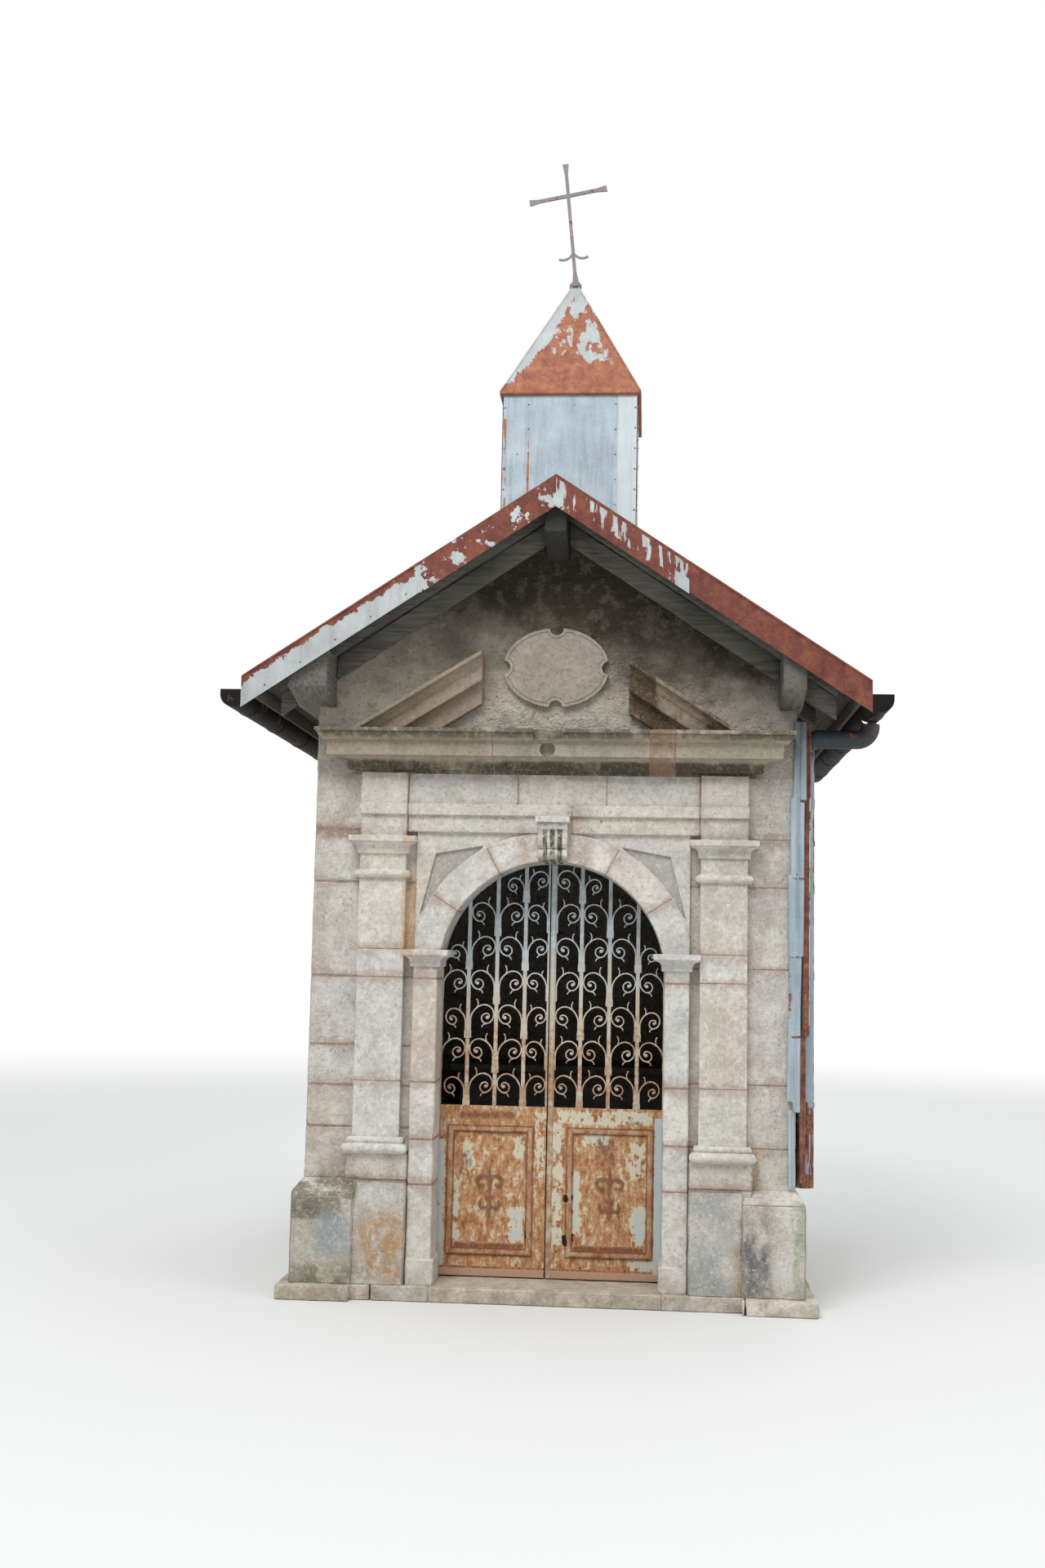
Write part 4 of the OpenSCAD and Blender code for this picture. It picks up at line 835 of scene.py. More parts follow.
# Old paint left on the gate's sheets, their darkest rust, where they are rusted through, and the
# raised ornament, which gets painted shade: range across, range of height, softness and strength
PAINT = (
    ((-0.640, -0.560), (0.13, 0.80), 0.022, 0.95),
    ((-0.517, -0.480), (0.26, 0.60), 0.022, 0.78),
    ((-0.230, -0.125), (0.25, 0.45), 0.045, 0.86),
    ((-0.475, -0.400), (0.58, 0.80), 0.025, 0.62),
    ((-0.200, -0.128), (0.70, 0.83), 0.02, 0.66),
    ((0.557, 0.630), (0.10, 0.93), 0.006, 1.2),
    ((0.430, 0.530), (0.25, 0.47), 0.045, 0.95),
    ((0.115, 0.170), (0.30, 0.64), 0.030, 0.85),
    ((0.175, 0.320), (0.775, 0.85), 0.025, 0.88),
    ((0.420, 0.515), (0.60, 0.80), 0.025, 0.68),
    ((0.030, 0.560), (0.885, 0.965), 0.015, 0.66),
    ((0.014, 0.075), (0.25, 0.90), 0.012, 0.66),
    ((-0.090, -0.030), (0.60, 0.95), 0.012, 0.55),
    ((0.420, 0.640), (0.125, 0.20), 0.035, 0.85),
)
DARK = (
    ((-0.510, -0.130), (0.222, 0.258), 0.016, 1.1),
    ((0.130, 0.510), (0.222, 0.258), 0.016, 1.1),
    ((-0.420, -0.200), (0.815, 0.840), 0.015, 0.8),
    ((0.230, 0.360), (0.640, 0.830), 0.03, 0.8),
    ((-0.500, -0.180), (0.895, 0.955), 0.030, 1.0),
    ((0.400, 0.500), (0.885, 0.915), 0.01, 0.8),
    ((-0.500, -0.420), (0.600, 0.740), 0.03, 0.8),
    ((-0.600, 0.600), (0.112, 0.135), 0.006, 0.8),
    ((-0.560, -0.530), (0.20, 0.50), 0.008, 0.6),
)
HOLES = (
    ((0.078, 0.100), (0.480, 0.520), 0.016, 1.0), ((0.118, 0.128), (0.490, 0.520), 0.010, 1.0),
    ((0.072, 0.100), (0.250, 0.310), 0.016, 1.0), ((0.122, 0.134), (0.270, 0.320), 0.012, 1.0),
    ((-0.128, -0.120), (0.280, 0.330), 0.008, 1.0),
)
# Where the raised ornament gets painted shade
ORNAMENT_SHADE_ZONES = (
    ((0.22, 0.42), (0.36, 0.70), 0.004, 1.0), ((-0.42, -0.22), (0.36, 0.70), 0.004, 1.0),
)


def gate_sheet_finish(name):
    """Rust in streaks over the gate's sheets, with the paint that is left on them, and painted
    shade along the feet of the mouldings and on the raised ornament.
    """
    s = Shader(name)
    spot, fine, run = s.noise(13, 6, 0.72), s.noise(75, 4, 0.68), s.noise(36, 5, 0.68, 0.34)
    mixed = run * 0.50 + spot * 0.25 + fine * 0.25
    colour = s.ramp(
        mixed, (0.38, (0.22, 0.080, 0.038)), (0.45, (0.38, 0.17, 0.075)),
        (0.51, (0.49, 0.28, 0.14)), (0.58, (0.60, 0.46, 0.29)),
    )
    tan = s.ramp(
        mixed, (0.40, (0.29, 0.12, 0.06)), (0.49, (0.44, 0.235, 0.12)), (0.58, (0.52, 0.37, 0.23))
    )
    loose = (spot - 0.5) * 1.3
    left = s.most(s.band(mixed, 0.50, 0.60) * 0.42, s.zones(PAINT))
    cream = s.mix(s.band(left + loose, 0.72, 1.0), (0.62, 0.57, 0.43), s.settings.gate_paint)
    dark = s.zones(DARK) * 0.85 + (run - 0.5) * 2.4 + loose
    # Painted shade along the feet of the mouldings.
    moulding_shade = s.band(s.y, SHEET_Y - 0.0012, SHEET_Y - 0.0022)
    moulding_shade = moulding_shade * s.band(s.y, SHEET_Y - 0.010, SHEET_Y - 0.006)
    # Painted shade on the raised ornament.
    ornament_shade = s.zones(ORNAMENT_SHADE_ZONES) * s.band(s.y, SHEET_Y - 0.0035, SHEET_Y - 0.0065)
    through = s.zones(HOLES) + (spot - 0.5) * 1.5
    colour = s.over(
        colour,
        (s.band(left + (mixed - 0.5) * 4.6 + loose * 0.5, 0.40, 0.66), cream),
        (s.band(dark, 0.48, 0.95) * 0.85, (0.165, 0.056, 0.030)),
        (moulding_shade * 0.75, (0.17, 0.068, 0.04)),
        (s.band(s.y, SHEET_Y - 0.006, SHEET_Y - 0.011) * 0.85, tan),
        (s.band(s.z, 0.125, 0.118) * 0.75, (0.56, 0.375, 0.25)),
        (ornament_shade * 0.85, (0.215, 0.095, 0.055)),
        (s.band(through, 0.42, 0.60), (0.02, 0.012, 0.010)),
    )
    s.finish(colour, 0.85, s.bump(mixed + fine * 0.4, 0.7, 0.004), specular=0.25)


def iron_finish(name, pale, share, specular=0.5):
    """Plain iron with a share of rust."""
    s = Shader(name)
    rust = s.band(s.noise(14, 5, 0.68), 0.60 - share * 0.3, 0.66 - share * 0.3)
    tones = ((0.06, 0.03, 0.025), (0.13, 0.06, 0.045), (0.24, 0.115, 0.07))
    rusty(s, rust, pale, tones, dull=0.65, specular=specular)


def make_materials(settings):
    """Makes every finish, each kept in MATERIALS under its name."""
    lime, render, mortar = settings.limestone, settings.render, settings.mortar
    timber = tone(settings.timber, 0.84)
    stone_finish("ashlar", lime, HIGH_STAINS + LOW_STAINS, speck=0.75, rough=1.1)
    stone_finish(
        "dressing", tone(lime, 1.06), HIGH_STAINS[3:6] + HIGH_STAINS[9:10] + LOW_STAINS[9:11],
        speck=0.45, rough=0.8, blotch=0.35,
    )
    stone_finish(
        "field", lime, HIGH_STAINS[3:6] + HIGH_STAINS[10:11], rough=0.8, field_shade=SPANDREL_FIELD_SHADE
    )
    stone_finish("plinth", lime, LOW_STAINS, speck=0.6, moss=0.5, blotch=0.3)
    stone_finish("footing", (0.60, 0.55, 0.475), FOOTING_STAINS, speck=0.6, moss=0.4)
    stone_finish("floor", (0.30, 0.28, 0.25), speck=0.6)
    stone_finish("altar", (0.25, 0.24, 0.23), speck=0.3)
    stone_finish("plaque", settings.plaque, speck=0.6, blotch=0.2)
    stone_finish("cornice", settings.cornice, CORNICE_STAINS_AND_SHADE, speck=0.8)
    stone_finish("keystone", tone(lime, 1.18), KEYSTONE_STAINS, speck=0.9)
    stone_finish("raking", settings.raking, RAKING_SHADE, speck=0.6)
    render_finish("mortar", mortar, tone(mortar, 0.75))
    # The gable's render takes painted shade under the eaves at a share of 0.97.
    render_finish("render", render, tone(render, 0.66), 0.97)
    render_finish("side_render", render, tone(render, 0.7))
    # Painted shade from 3.8 to 4.3 m, over the ridge beam under the roof.
    timber_finish("beam", timber, tone(timber, 0.5), 1, (3.8, 4.3))
    timber_finish("boards", tone(timber, 0.85), tone(timber, 0.4), 1)
    timber_finish("rafters", tone(timber, 0.9), tone(timber, 0.45), 0)
    roof_finish("roof_sheet")
    verge_finish("verge")
    turret_wall_finish("turret_wall")
    turret_roof_finish("turret_roof")
    pipe_finish("downpipe")
    cover_finish("cover")
    flange_finish("flange")
    gate_iron_finish("gate_iron")
    gate_sheet_finish("gate_sheet")
    # The gutter's near-black is partly its dark brown paint and partly painted shade under the
    # eaves.
    iron_finish("gutter", (0.010, 0.0095, 0.008), 0.05, 0.12)
    iron_finish("cross", (0.235, 0.20, 0.215), 0.12)
    iron_finish("pintle", (0.16, 0.13, 0.11), 0.6)
    iron_finish("nail", (0.20, 0.19, 0.18), 0.5)


# Repeated small parts


def head_tree(name, material):
    """Geometry Nodes that put a domed head on every point, facing along its normal."""
    tree = bpy.data.node_groups.new(name, "GeometryNodeTree")
    for label, way, kind in (
        ("Geometry", "INPUT", "Geometry"), ("Head Radius", "INPUT", "Float"),
        ("Head Height", "INPUT", "Float"), ("Size Variation", "INPUT", "Float"),
        ("Seed", "INPUT", "Int"), ("Geometry", "OUTPUT", "Geometry"),
    ):
        tree.interface.new_socket(label, in_out=way, socket_type="NodeSocket" + kind)
    given = tree.nodes.new("NodeGroupInput").outputs
    radius, spread = given["Head Radius"], given["Size Variation"]
    ball = grow(tree, "GeometryNodeMeshUVSphere", {"Segments": 8, "Rings": 5, "Radius": radius})
    share = grow(tree, "ShaderNodeMath", {0: given["Head Height"], 1: radius}, operation="DIVIDE")
    squash = grow(tree, "ShaderNodeCombineXYZ", {0: 1.0, 1: 1.0, 2: share})
    head = grow(tree, "GeometryNodeTransform", {"Geometry": ball, "Scale": squash})
    facing = grow(
        tree, "GeometryNodeInputNamedAttribute", {"Name": "facing"}, "Attribute",
        data_type="FLOAT_VECTOR",
    )
    turn = grow(tree, "FunctionNodeAlignRotationToVector", {"Vector": facing}, axis="Z")
    least = grow(tree, "ShaderNodeMath", {0: 1.0, 1: spread}, operation="SUBTRACT")
    most = grow(tree, "ShaderNodeMath", {0: 1.0, 1: spread}, operation="ADD")
    size = tree.nodes.new("FunctionNodeRandomValue")
    for label, value in (("Min", least), ("Max", most), ("Seed", given["Seed"])):
        socket = next(i for i in size.inputs if i.name == label and i.type in ("VALUE", "INT"))
        tree.links.new(value, socket)
    placed = grow(tree, "GeometryNodeInstanceOnPoints", {
        "Points": given["Geometry"], "Instance": head, "Rotation": turn,
        "Scale": next(o for o in size.outputs if o.type == "VALUE"),
    })
    real = grow(tree, "GeometryNodeRealizeInstances", {"Geometry": placed})
    painted = grow(tree, "GeometryNodeSetMaterial", {"Geometry": real, "Material": material})
    grow(tree, "NodeGroupOutput", {0: painted})
    return tree


def heads(name, spots, radius, height, key, body="building", seed=3):
    """Nail or rivet heads on a list of (place, facing)."""
    mesh = bpy.data.meshes.new(name + "_spots")
    mesh.from_pydata([tuple(place) for place, _ in spots], [], [])
    facing = mesh.attributes.new("facing", "FLOAT_VECTOR", "POINT")
    facing.data.foreach_set("vector", [c for _, f in spots for c in f])
    carrier = add_object(name + "_spots", mesh)
    tree = head_tree(name + "_tree", MATERIALS[key])
    modifier = carrier.modifiers.new("heads", "NODES")
    modifier.node_group = tree
    values = {"Head Radius": radius, "Head Height": height, "Size Variation": 0.15, "Seed": seed}
    for item in tree.interface.items_tree:
        if item.name in values:
            modifier[item.identifier] = values[item.name]
    graph = bpy.context.evaluated_depsgraph_get()
    out = bpy.data.meshes.new_from_object(carrier.evaluated_get(graph))
    out.name = name
    carrier.modifiers.clear()
    bpy.data.objects.remove(carrier)
    bpy.data.meshes.remove(mesh)
    for polygon in out.polygons:
        polygon.use_smooth = True
    finished(name, out, key, body)


# Settings


def colour_of(name, description, default):
    return FloatVectorProperty(
        name=name, description=description, subtype="COLOR", default=default, min=0, max=1
    )


def length_of(name, description, default, low, high):
    return FloatProperty(
        name=name, description=description, default=default, min=low, max=high,
        subtype="DISTANCE", unit="LENGTH",
    )


class ChapelSettings(bpy.types.PropertyGroup):
    """Sizes and colours of the chapel's dressing."""

    joint_width: length_of("Joint Width", "Width of the joints between stones", 0.003, 0.002, 0.02)
    stone_relief: length_of(
        "Stone Relief", "How far the stones stand out of their joints", 0.003, 0.001, 0.006
    )
    wear: length_of("Wear", "Depth of the hollows in the stones' faces", 0.004, 0.0, 0.006)
    nail_radius: length_of(
        "Nail Radius", "Radius of the nail heads in the sheets", 0.007, 0.003, 0.012
    )
    board_count: IntProperty(
        name="Boards", description="Roof boards on each side", default=9, min=6, max=14
    )
    limestone: colour_of("Limestone", "Colour of the dressed stone", (0.635, 0.615, 0.57))
    warm_stain: colour_of("Warm Stain", "Pinkish stain beside the joints", (0.475, 0.37, 0.31))
    cornice: colour_of("Cornice Stone", "Weathered stone of the cornice", (0.375, 0.345, 0.27))
    mortar: colour_of("Mortar", "Mortar in the joints", (0.45, 0.365, 0.305))
    render: colour_of("Render", "Rough coat of the gable", (0.40, 0.355, 0.29))
    plaque: colour_of("Plaque", "Stone of the oval plaque", (0.37, 0.33, 0.275))
    raking: colour_of("Raking Stone", "Stone of the raking mouldings", (0.33, 0.27, 0.20))
    timber: colour_of("Timber", "Weathered beams and boards", (0.25, 0.24, 0.205))
    zinc: colour_of("Zinc", "Bare galvanised sheet", (0.42, 0.46, 0.50))
    white_zinc: colour_of("White Zinc", "Chalky galvanised sheet", (0.435, 0.47, 0.47))
    turret_zinc: colour_of("Turret Zinc", "Sheet of the turret walls", (0.375, 0.445, 0.495))
    pipe_zinc: colour_of("Pipe Zinc", "Sheet of the downpipe", (0.36, 0.43, 0.48))
    gate_paint: colour_of("Gate Paint", "Old pale paint of the gate", (0.50, 0.56, 0.57))
    rust: colour_of("Rust", "Even rust", (0.34, 0.135, 0.07))
    rust_light: colour_of("Light Rust", "Fresh orange rust", (0.50, 0.25, 0.12))
    rust_dark: colour_of("Dark Rust", "Old dark rust", (0.16, 0.055, 0.03))


class ChapelOperator(bpy.types.Operator):
    """Shared settings of the chapel's operators"""

    bl_options = {"REGISTER", "UNDO"}

    @property
    def settings(self):
        return bpy.context.scene.chapel

    @property
    def stonework(self):
        """Half a joint, the relief of the stones and the depth of their wear."""
        s = self.settings
        return s.joint_width / 2 + s.stone_relief, s.stone_relief, s.wear


# The finish that each CAD node wears under what is laid over it
NODE_FINISHES = {
    "mortar": (
        "left_plinth", "right_plinth", "back_plinth", "left_wall", "right_wall",
        "left_front_pier", "right_front_pier", "wall_over_door", "jambs", "imposts",
        "arch_ring", "pedestals", "pilasters", "capitals", "architrave", "frieze",
        "cornice", "raking_mouldings", "keystone", "spandrels",
    ),
    "render": ("front_gable",),
    "side_render": ("back_wall",),
    "plaque": ("plaque",),
    "footing": ("footing", "threshold"),
    "floor": ("floor_slab",),
    "altar": ("altar",),
    "beam": ("ridge_beam", "wall_plates"),
    "rafters": ("left_rafters", "right_rafters"),
    "boards": ("left_boards", "right_boards"),
    "roof_sheet": ("left_roof_sheet", "right_roof_sheet", "ridge_cap"),
    "verge": ("verges",),
    "gutter": ("gutters",),
    "downpipe": ("downpipe",),
    "turret_wall": ("turret_walls",),
    "turret_roof": ("turret_roof",),
    "cross": ("cross",),
    "pintle": ("pintles",),
    "gate_iron": ("left_leaf_ironwork", "right_leaf_ironwork"),
    "gate_sheet": ("left_leaf_panel", "right_leaf_panel"),
}


class CHAPEL_OT_materials(ChapelOperator):
    """Make the finishes and give each CAD node its own"""

    bl_idname = "chapel.materials"
    bl_label = "Finishes"

    def execute(self, context):
        make_materials(self.settings)
        for key, nodes in NODE_FINISHES.items():
            for node in nodes:
                materials = NODES[node].data.materials
                materials.clear()
                materials.append(MATERIALS[key])
        return {"FINISHED"}


# Masonry

# Upright joints in the sides of the piers, where their long stones end
QUOIN_JOINTS = [
    ((-3, FRONT + 0.27, 2.16), (3, FRONT + 0.28, 2.42)),
    ((-3, FRONT + 0.31, 1.08), (3, FRONT + 0.32, 1.66)),
]
# Heights of the level joints of the two piers
LEFT_COURSES = (2.435, 2.157, 1.656, 1.294, 1.083, 0.867)
RIGHT_COURSES = (2.410, 2.159, 1.732, 1.134, 0.809)
# Narrow beds at the outer sides of the pedestals, over the slope of the plinth: their width, how
# far they stand out of the piers, and their range of height
BED_WIDTH, BED_OUT, BED_Z = 0.052, 0.060, (0.545, 0.606)


class CHAPEL_OT_walls(ChapelOperator):
    """Lay the coursed stones of the piers, jambs, pilasters and plinth"""

    bl_idname = "chapel.walls"
    bl_label = "Wall Stones"

    def execute(self, context):
        half, proud, wear = self.stonework
        courses = (("left_front_pier", LEFT_COURSES), ("right_front_pier", RIGHT_COURSES))
        for seed, (node, levels) in enumerate(courses, 1):
            stone_copy(
                node + "_stones", node, "ashlar", "ashlar", seed, (0.035, 0.06, 0.03),
                proud, wear, 0.005, slabs(2, half, *levels) + QUOIN_JOINTS,
            )
        stone_copy(
            "jamb_stones", "jambs", "dressing", "dressing", 3, (0.03, 0.05, 0.03),
            proud, wear * 0.7, 0.004, slabs(2, half, 1.650, 1.110, 0.815, 0.583),
        )
        stone_copy(
            "pilaster_stones", "pilasters", "dressing", "dressing", 4, (0.03, 0.03, 0.03),
            proud, wear * 0.7, 0.003, slabs(2, half, 1.803, 1.655, 1.112),
        )
        self.pedestal_beds(proud, wear)
        stone_copy(
            "pedestal_stones", "pedestals", "plinth", "plinth", 5, (0.03, 0.04, 0.03),
            proud, wear, 0.006, slabs(2, half, 0.600),
        )
        for seed, node in enumerate(("left_plinth", "right_plinth"), 6):
            stone_copy(
                node + "_stones", node, "plinth", "plinth", seed, (0.04, 0.05, 0.04),
                proud, wear * 1.2, 0.008, slabs(1, half, -0.78, -0.1, 0.55),
            )
        stone_copy(
            "back_plinth_stones", "back_plinth", "plinth", "plinth", 8, (0.05, 0.06, 0.05),
            proud, wear * 1.2, 0.008, slabs(0, half, -0.3, 0.34),
        )
        for seed, node in enumerate(("left_wall", "right_wall"), 9):
            stone_copy(
                node + "_render", node, "side_render", "ashlar", seed, (0.08, 0.05, 0.05),
                proud, wear * 1.6, 0.004,
            )
        return {"FINISHED"}

    def pedestal_beds(self, proud, wear):
        """Narrow stones that fill the wedge between the plinth's slope and the pedestals."""
        bm = bmesh.new()
        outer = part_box("pedestals")[1][0]
        for side in (-1, 1):
            ends = sorted((side * (outer - BED_WIDTH), side * (outer - proud)))
            add_box(bm, (ends[0], FRONT - BED_OUT, BED_Z[0]), (ends[1], FRONT, BED_Z[1]))
        dice(bm, (0.02, 0.02, 0.02))
        weather(bm, proud * 0.3, wear * 0.3, 31)
        make_piece(bm, "pedestal_beds", "plinth")


# The arch's centre, the angles of its joints, and the radii between which they run
ARCH_CENTRE = Vector((0, 0, 1.684))
ARCH_JOINTS = (33, 62, 118, 147)
ARCH_RADII = (0.4, 0.9)


class CHAPEL_OT_front(ChapelOperator):
    """Cut the arch, the entablature and the mouldings of the front"""

    bl_idname = "chapel.front"
    bl_label = "Front Mouldings"

    def execute(self, context):
        half, proud, wear = self.stonework
        even = (0.03, 0.03, 0.03)
        radial = []
        for angle in ARCH_JOINTS:
            turn = Matrix.Translation(ARCH_CENTRE) @ Matrix.Rotation(math.radians(-angle), 4, "Y")
            radial.append(((ARCH_RADII[0], -3, -half), (ARCH_RADII[1], 3, half), turn))
        footing_joints = slabs(0, half, -0.9, -0.2, 0.45, 1.02) + slabs(1, half, -0.6, 0.2, 0.9)
        for row in (
            ("voussoirs", "arch_ring", "dressing", "dressing", 11, (0.03, 0.06, 0.03),
             proud, wear * 0.6, 0.004, radial),
            ("spandrel_stones", "spandrels", "field", "ashlar", 12, (0.035, 0.06, 0.035),
             proud * 0.8, wear * 0.6, 0.002),
            ("impost_stones", "imposts", "dressing", "dressing", 13, (0.025, 0.04, 0.0),
             proud * 0.8, 0.0015, 0.002),
            ("capital_stones", "capitals", "dressing", "dressing", 14, (0.025, 0.03, 0.0),
             proud * 0.8, 0.002, 0.002),
            ("keystone_console", "keystone", "keystone", "dressing", 15, (0.02, 0.03, 0.015),
             proud, 0.002, 0.002),
            ("architrave_stones", "architrave", "ashlar", "ashlar", 16, even,
             proud, wear * 0.6, 0.003, slabs(0, half, -0.776, 0.776, 0.1)),
            ("frieze_stones", "frieze", "ashlar", "ashlar", 17, even,
             proud, wear, 0.005, slabs(0, half * 1.3, -0.189, 0.282, -0.776, 0.776)),
            ("cornice_stones", "cornice", "cornice", "dressing", 18, even,
             proud * 0.8, wear * 0.6, 0.003, slabs(0, half, -0.319, 0.511, 0.638)),
            ("raking_stones", "raking_mouldings", "raking", "render", 19, even,
             proud * 0.8, wear * 0.6, 0.003),
            ("plaque_stone", "plaque", "plaque", "plaque", 20, (0.025, 0.0, 0.025),
             0.001, 0.0015, 0.002, (), True),
            ("gable_render", "front_gable", "render", "render", 21, (0.028, 0.08, 0.028),
             0.003, 0.009, 0.002),
            ("back_render", "back_wall", "side_render", "render", 22, (0.06, 0.08, 0.06),
             0.002, 0.007, 0.002),
            ("footing_stones", "footing", "footing", "footing", 23, (0.05, 0.05, 0.03),
             0.001, 0.008, 0.01, footing_joints, True),
            ("threshold_stone", "threshold", "footing", "footing", 24, (0.04, 0.05, 0.03),
             0.0, 0.003, 0.006, (), True),
        ):
            stone_copy(*row)
        return {"FINISHED"}


# Roof

# Thickness of the boards, and depth of their middle below the top of the sheets
BOARD_THICK, BOARD_DROP = 0.0245, 0.0165
# Seams of the sheets: half width, height, number of lengths, and how far from the ridge they
# start beside the turret and elsewhere
SEAM_HALF, SEAM_RISE, SEAM_STEPS = 0.011, 0.007, 24
SEAM_STARTS = (0.52, 0.15)
# Half lengths of the ridge that the turret keeps free of seams and of nails
SEAM_CLEAR, NAIL_CLEAR = 0.42, 0.45
# The upper course's lower edge: thickness, how far it reaches to each side of the lap, and how far
# it ends inside the verges
LAP_RISE, LAP_UP, LAP_DOWN, LAP_INSET = 0.0025, 0.03, 0.004, 0.11
# Nails of the sheets: spacing, distance from the ridge, how far above the lap and above the eaves,
# and how far inside the verges they start and end; their heads stand higher beside the ridge
NAIL_STEP, RIDGE_NAILS, LAP_NAILS, EAVES_NAILS = 0.17, 0.09, 0.015, 0.04
NAIL_START, NAIL_END = 0.2, 0.15
NAIL_LIFT, RIDGE_LIFT = 0.0035, 0.004
# Beads of the verges: radius, inset of the upper and the lower length; and their nails: number,
# where the first is, how far short of the eaves they end, and depth below the sheets
BEAD_RADIUS, BEAD_INSETS = 0.0075, (0.009, 0.005)
VERGE_NAILS, VERGE_FIRST, VERGE_SPARE, VERGE_DROP = 9, 0.12, 0.2, 0.105


def on_slope(side, run, drop, y):
    """A point at a distance down the slope from the ridge, and a depth below the sheets."""
    x = run * math.cos(SLOPE) - drop * math.sin(SLOPE)
    z = RIDGE_Z - run * math.sin(SLOPE) - drop * math.cos(SLOPE)
    return Vector((side * x, y, z))


def slope_run(x):
    """Distance down the slope from the ridge to a place across."""
    return x / math.cos(SLOPE)


def off_slope(side):
    """The direction square to one slope."""
    return Vector((side * math.sin(SLOPE), 0, math.cos(SLOPE)))


class CHAPEL_OT_roof(ChapelOperator):
    """Lay the roof boards, sheets, seams and the beads of the verges"""

    bl_idname = "chapel.roof"
    bl_label = "Roof"

    def execute(self, context):
        self.boards()
        for node in ("ridge_beam", "wall_plates"):
            stone_copy(
                node + "_timber", node, "beam", "beam", 31, (0.05, 0.12, 0.05), -0.001, 0.005,
                0.006, (), True, 45,
            )
        for seed, node in enumerate(("left_rafters", "right_rafters"), 32):
            stone_copy(
                node + "_timber", node, "rafters", "beam", seed, (0.12, 0.0, 0.0), -0.001,
                0.005, 0.005, (), True, 45,
            )
        self.sheets()
        self.verge_beads()
        return {"FINISHED"}

    def boards(self):
        """Boards along the building, with small gaps and uneven ends."""
        y0, y1 = (corner[1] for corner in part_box("left_boards"))
        count = self.settings.board_count
        width = slope_run(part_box("right_boards")[1][0]) / count
        chance = random.Random(41)
        for side, node in ((-1, "left_boards"), (1, "right_boards")):
            bm = bmesh.new()
            down = Vector((side * math.cos(SLOPE), 0, -math.sin(SLOPE)))
            for k in range(count):
                short = chance.uniform(0.0, 0.02)
                gap = chance.uniform(0.004, 0.012)
                start = on_slope(side, width * (k + 0.5), BOARD_DROP, y0 + short)
                plank(
                    bm, start, Vector((0, 1, 0)), down, off_slope(side), y1 - y0 - 2 * short,
                    width - gap, BOARD_THICK, 3.0 * k + side,
                )
            tint_islands(bm, 40 + side)
            make_piece(bm, node + "_planks", "boards", 50, [node])

    def sheets(self):
        """Sheets in two courses with folded seams, nailed along their laps."""
        y0, y1 = (corner[1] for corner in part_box("left_roof_sheet"))
        run_end = slope_run(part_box("right_roof_sheet")[1][0])
        lap = slope_run(LAP_X)
        nails = []
        for side, name in ((-1, "left_seams"), (1, "right_seams")):
            bm = bmesh.new()
            lap_edge(bm, side, lap - LAP_UP, lap + LAP_DOWN, y0 + LAP_INSET, y1 - LAP_INSET)
            for y in (y0 + (y1 - y0) * k / 5 for k in range(1, 5)):
                start = SEAM_STARTS[1] if abs(y) > SEAM_CLEAR else SEAM_STARTS[0]
                seam(bm, side, start, run_end - 0.002, y)
            bmesh.ops.remove_doubles(bm, verts=bm.verts, dist=1e-5)
            make_piece(bm, name, "roof_sheet", 50)
            for run, lift in (
                (lap - LAP_NAILS, NAIL_LIFT), (run_end - EAVES_NAILS, NAIL_LIFT),
                (RIDGE_NAILS, RIDGE_LIFT),
            ):
                y = y0 + NAIL_START
                while y < y1 - NAIL_END:
                    if run > RIDGE_NAILS or abs(y) > NAIL_CLEAR:
                        nails.append((on_slope(side, run, -lift, y), off_slope(side)))
                    y += NAIL_STEP
        heads("roof_nails", nails, self.settings.nail_radius, 0.003, "nail")

    def verge_beads(self):
        """Rolled edges along the verges, and the nails that hold them."""
        low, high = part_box("verges")
        run_end = slope_run(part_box("right_roof_sheet")[1][0])
        lap = slope_run(LAP_X)
        bm = bmesh.new()
        nails = []
        for y, out in ((low[1], -1), (high[1], 1)):
            for side in (-1, 1):
                for runs, inset in zip(((0.0, lap), (lap, run_end - 0.004)), BEAD_INSETS):
                    ends = (on_slope(side, run, 0.002, y - out * inset) for run in runs)
                    tube(bm, *ends, 12, BEAD_RADIUS)
                for k in range(VERGE_NAILS):
                    run = VERGE_FIRST + (run_end - VERGE_SPARE) * k / (VERGE_NAILS - 1)
                    inset = 0.0 if run < lap else 0.003
                    spot = on_slope(side, run, VERGE_DROP, y - out * inset)
                    nails.append((spot, Vector((0, out, 0))))
        make_piece(bm, "verge_beads", "verge", 60)
        heads("verge_nails", nails, 0.0055, 0.0022, "nail", seed=5)


def seam(bm, side, start, end, y):
    """A folded seam with a rounded back, in short lengths."""
    left, right, back = y - SEAM_HALF, y + SEAM_HALF, -SEAM_RISE
    shape = (
        (left, 0.001), (left + 0.003, back * 0.8), ((left + right) / 2, back),
        (right - 0.003, back * 0.8), (right, 0.001),
    )
    runs = [start + (end - start) * k / SEAM_STEPS for k in range(SEAM_STEPS + 1)]
    for pair in zip(runs, runs[1:]):
        rows = [[bm.verts.new(on_slope(side, run, d, y)) for y, d in shape] for run in pair]
        skin(bm, rows, ends=False)


def lap_edge(bm, side, start, end, y0, y1):
    """The lapped edge of a course of sheets."""
    shape = ((start, 0.001), (end, 0.001), (end, -LAP_RISE), (start, -0.0003))
    corners = []
    for run, drop in shape:
        corners.append([bm.verts.new(on_slope(side, run, drop, y)) for y in (y0, y1)])
    for a, b in zip(corners, corners[1:] + corners[:1]):
        bm.faces.new((a[0], b[0], b[1], a[1]))
    bm.faces.new([c[0] for c in corners])
    bm.faces.new([c[1] for c in corners][::-1])


# Downpipe

